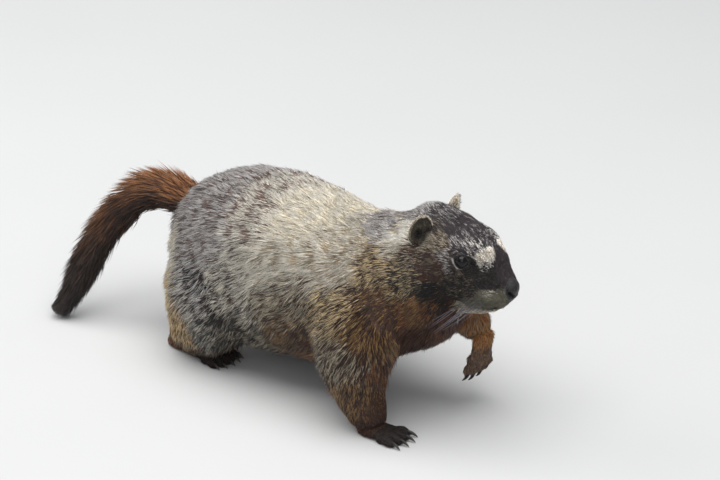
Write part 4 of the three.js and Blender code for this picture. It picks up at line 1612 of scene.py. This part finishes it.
class MarmotCoat(bpy.types.PropertyGroup):
    length: FloatProperty(name="Hair length", description="Scales every tuft's length", default=1.0,
                          min=0.3, max=1.6, subtype="FACTOR")
    width: FloatProperty(name="Tuft width", description="Scales every tuft's width", default=1.0,
                         min=0.3, max=2.0, subtype="FACTOR")
    clumping: FloatProperty(name="Clumping", description="How far tips gather in locks", default=0.35,
                            min=0.0, max=0.9, subtype="FACTOR")
    seed: IntProperty(name="Seed", description="Changes which tufts grow where", default=11, min=0)


class MarmotFace(bpy.types.PropertyGroup):
    eye_radius: FloatProperty(name="Eye radius", description="Radius of an eyeball",
                              default=EYE_RADIUS * MM, min=0.003, max=0.012, unit="LENGTH")
    whiskers: FloatProperty(name="Whisker length", default=60.0, min=5.0, max=90.0,
                            description="Length of the longest whiskers in millimetres")


class MarmotStage(bpy.types.PropertyGroup):
    azimuth: FloatProperty(name="Camera azimuth", description="Degrees from the view along +Y",
                           default=46.0)
    elevation: FloatProperty(name="Camera elevation", description="Degrees above the floor",
                             default=24.0)
    distance: FloatProperty(name="Camera distance", description="From the aim point to the camera",
                            default=3.159, unit="LENGTH")
    lens: FloatProperty(name="Lens", description="Focal length in millimetres", default=175.0)
    light: FloatProperty(name="Light", description="Scales the studio light", default=1.0, min=0.0)


def pigment_colours():
    colours = bpy.context.scene.marmot_colours
    return {key: np.array(getattr(colours, key)) for key in PIGMENTS}


def skin_object():
    skin = bpy.data.objects.get("skin")
    if skin is None:
        raise RuntimeError("make the skin first")
    return skin


# Operators

class MARMOT_OT_skin(bpy.types.Operator):
    """Makes the one skin that replaces the body's flesh"""
    bl_idname = "marmot.skin"
    bl_label = "Skin"

    def execute(self, context):
        colours = pigment_colours()
        mesh = build_skin()
        points = in_body_measure(mesh)
        head = to_head(points)
        under, tip = paint_at(points, colours)
        set_colours(mesh, "under", under * 0.7)
        set_colours(mesh, "tip", tip * 0.8)
        for name, values in {**skin_masks(head), "pit_shade": pit_shade_mask(head)}.items():
            set_numbers(mesh, name, values)
        mesh.polygons.foreach_set("use_smooth", np.ones(len(mesh.polygons), bool))
        new_piece("skin", mesh, skin_material(colours), SKIN_REPLACES)
        return {"FINISHED"}


class MARMOT_OT_eyes(bpy.types.Operator):
    """Makes both eyes"""
    bl_idname = "marmot.eyes"
    bl_label = "Eyes"

    def execute(self, context):
        radius = context.scene.marmot_face.eye_radius / MM
        material = eye_material()
        for side, name in ((LEFT, "left"), (RIGHT, "right")):
            points, faces, from_pupil = eye_shape(side, radius)
            mesh = new_mesh(f"eyeball_{name}", points, faces)
            set_numbers(mesh, "from_pupil", from_pupil)
            new_piece(f"eyeball_{name}", mesh, material, (f"eye_{name}",))
        return {"FINISHED"}


class MARMOT_OT_claws(bpy.types.Operator):
    """Makes the claws of all four paws"""
    bl_idname = "marmot.claws"
    bl_label = "Claws"

    def execute(self, context):
        points, faces = together([paw_claws(name) for name in PAW_PLACES])
        points[:, 2] = np.maximum(points[:, 2], 0.15)
        mesh = new_mesh("claws", points, faces)
        claws = sum(len(paw_form(name)["toes"]) for name in PAW_PLACES)
        rings = len(points) // claws // CLAW_SIDES
        along = np.tile(np.repeat(np.linspace(0, 1, rings), CLAW_SIDES), claws)
        set_numbers(mesh, "along", along)
        new_piece("claws", mesh, claw_material(pigment_colours()))
        return {"FINISHED"}


class MARMOT_OT_whiskers(bpy.types.Operator):
    """Makes the whiskers"""
    bl_idname = "marmot.whiskers"
    bl_label = "Whiskers"

    def execute(self, context):
        points, faces, along = whisker_shapes(context.scene.marmot_face)
        mesh = new_mesh("whiskers", points, faces)
        set_numbers(mesh, "along", along)
        new_piece("whiskers", mesh, whisker_material(pigment_colours()))
        return {"FINISHED"}


class MARMOT_OT_coat(bpy.types.Operator):
    """Makes the coat of the body, legs and head, in lengthwise bands"""
    bl_idname = "marmot.coat"
    bl_label = "Coat"

    def execute(self, context):
        material = coat_material("marmot coat")
        for name in BANDS:
            build_band(name, skin_object(), context.scene.marmot_coat, pigment_colours(), material)
        return {"FINISHED"}


class MARMOT_OT_tail_coat(bpy.types.Operator):
    """Makes the tail's brush"""
    bl_idname = "marmot.tail_coat"
    bl_label = "Tail brush"

    def execute(self, context):
        build_tail_coat(context.scene.marmot_coat, pigment_colours(), coat_material("marmot tail hair"))
        return {"FINISHED"}


AIM = np.array((-37.0, 62.0, 105.0))  # the point in the middle of the picture
LIGHTS = {
    # name: (watts, width in metres, place, what it faces)
    "sky": (72, 2.6, (0.1, -0.2, 2.4), (0, 0, 0.1)),
    "front": (9, 1.4, (1.7, -1.5, 1.1), (0, 0, 0.1)),
    "rear": (16, 1.4, (-1.9, -0.7, 1.3), (0, 0, 0.1)),
}


def add_light(name, watts, width, place, target):
    data = bpy.data.lights.new(name, "AREA")
    data.energy = watts
    data.size = width
    light = bpy.data.objects.new(name, data)
    light.location = place
    light.rotation_euler = (Vector(target) - Vector(place)).to_track_quat("-Z", "Y").to_euler()
    bpy.context.scene.collection.objects.link(light)


class MARMOT_OT_stage(bpy.types.Operator):
    """Makes the floor, the studio light and the camera"""
    bl_idname = "marmot.stage"
    bl_label = "Stage"

    def execute(self, context):
        settings = context.scene.marmot_stage
        half = 6.0 / MM
        corners = np.array(((-half, -half, 0), (half, -half, 0), (half, half, 0), (-half, half, 0)))
        mesh = new_mesh("floor", corners - BODY_SHIFT, [np.array([[0, 1, 2, 3]])])
        floor = bpy.data.objects.new("floor", mesh)
        context.scene.collection.objects.link(floor)
        mesh.materials.append(floor_material())
        for name, values in LIGHTS.items():
            add_light(name, values[0] * settings.light, *values[1:])
        world = bpy.data.worlds.new("studio")
        world.use_nodes = True
        world.node_tree.nodes["Background"].inputs["Color"].default_value = (0.9, 0.93, 1.0, 1)
        world.node_tree.nodes["Background"].inputs["Strength"].default_value = 0.4
        context.scene.world = world
        context.scene.view_settings.view_transform = "Standard"
        azimuth, elevation = np.radians((settings.azimuth, settings.elevation))
        flat = np.cos(elevation)
        back = Vector((np.sin(azimuth) * flat, -np.cos(azimuth) * flat, np.sin(elevation)))
        data = bpy.data.cameras.new("camera")
        data.lens = settings.lens
        data.sensor_width = 36
        camera = bpy.data.objects.new("camera", data)
        camera.location = Vector(in_frame(AIM)) + back * settings.distance
        camera.rotation_euler = back.to_track_quat("Z", "Y").to_euler()
        context.scene.collection.objects.link(camera)
        context.scene.camera = camera
        return {"FINISHED"}


STEPS = (MARMOT_OT_stage, MARMOT_OT_skin, MARMOT_OT_eyes, MARMOT_OT_claws, MARMOT_OT_whiskers,
         MARMOT_OT_coat, MARMOT_OT_tail_coat)
GROUPS = {
    "marmot_colours": MarmotColours,
    "marmot_coat": MarmotCoat,
    "marmot_face": MarmotFace,
    "marmot_stage": MarmotStage,
}


class MARMOT_PT_panel(bpy.types.Panel):
    """Lists the marmot's pieces and settings"""
    bl_idname = "MARMOT_PT_panel"
    bl_label = "Marmot"
    bl_space_type = "VIEW_3D"
    bl_region_type = "UI"
    bl_category = "Marmot"

    def draw(self, context):
        for step in STEPS:
            self.layout.operator(step.bl_idname)
        for group, kind in GROUPS.items():
            box = self.layout.box()
            for key in kind.__annotations__:
                box.prop(getattr(context.scene, group), key)


def register():
    for kind in (*GROUPS.values(), *STEPS, MARMOT_PT_panel):
        bpy.utils.register_class(kind)
    for group, kind in GROUPS.items():
        setattr(bpy.types.Scene, group, PointerProperty(type=kind))


def unregister():
    for group in GROUPS:
        delattr(bpy.types.Scene, group)
    for kind in (MARMOT_PT_panel, *reversed(STEPS), *reversed(GROUPS.values())):
        bpy.utils.unregister_class(kind)


def main():
    register()
    for step in STEPS:
        category, name = step.bl_idname.split(".")
        getattr(getattr(bpy.ops, category), name)()


if __name__ == "__main__":
    main()
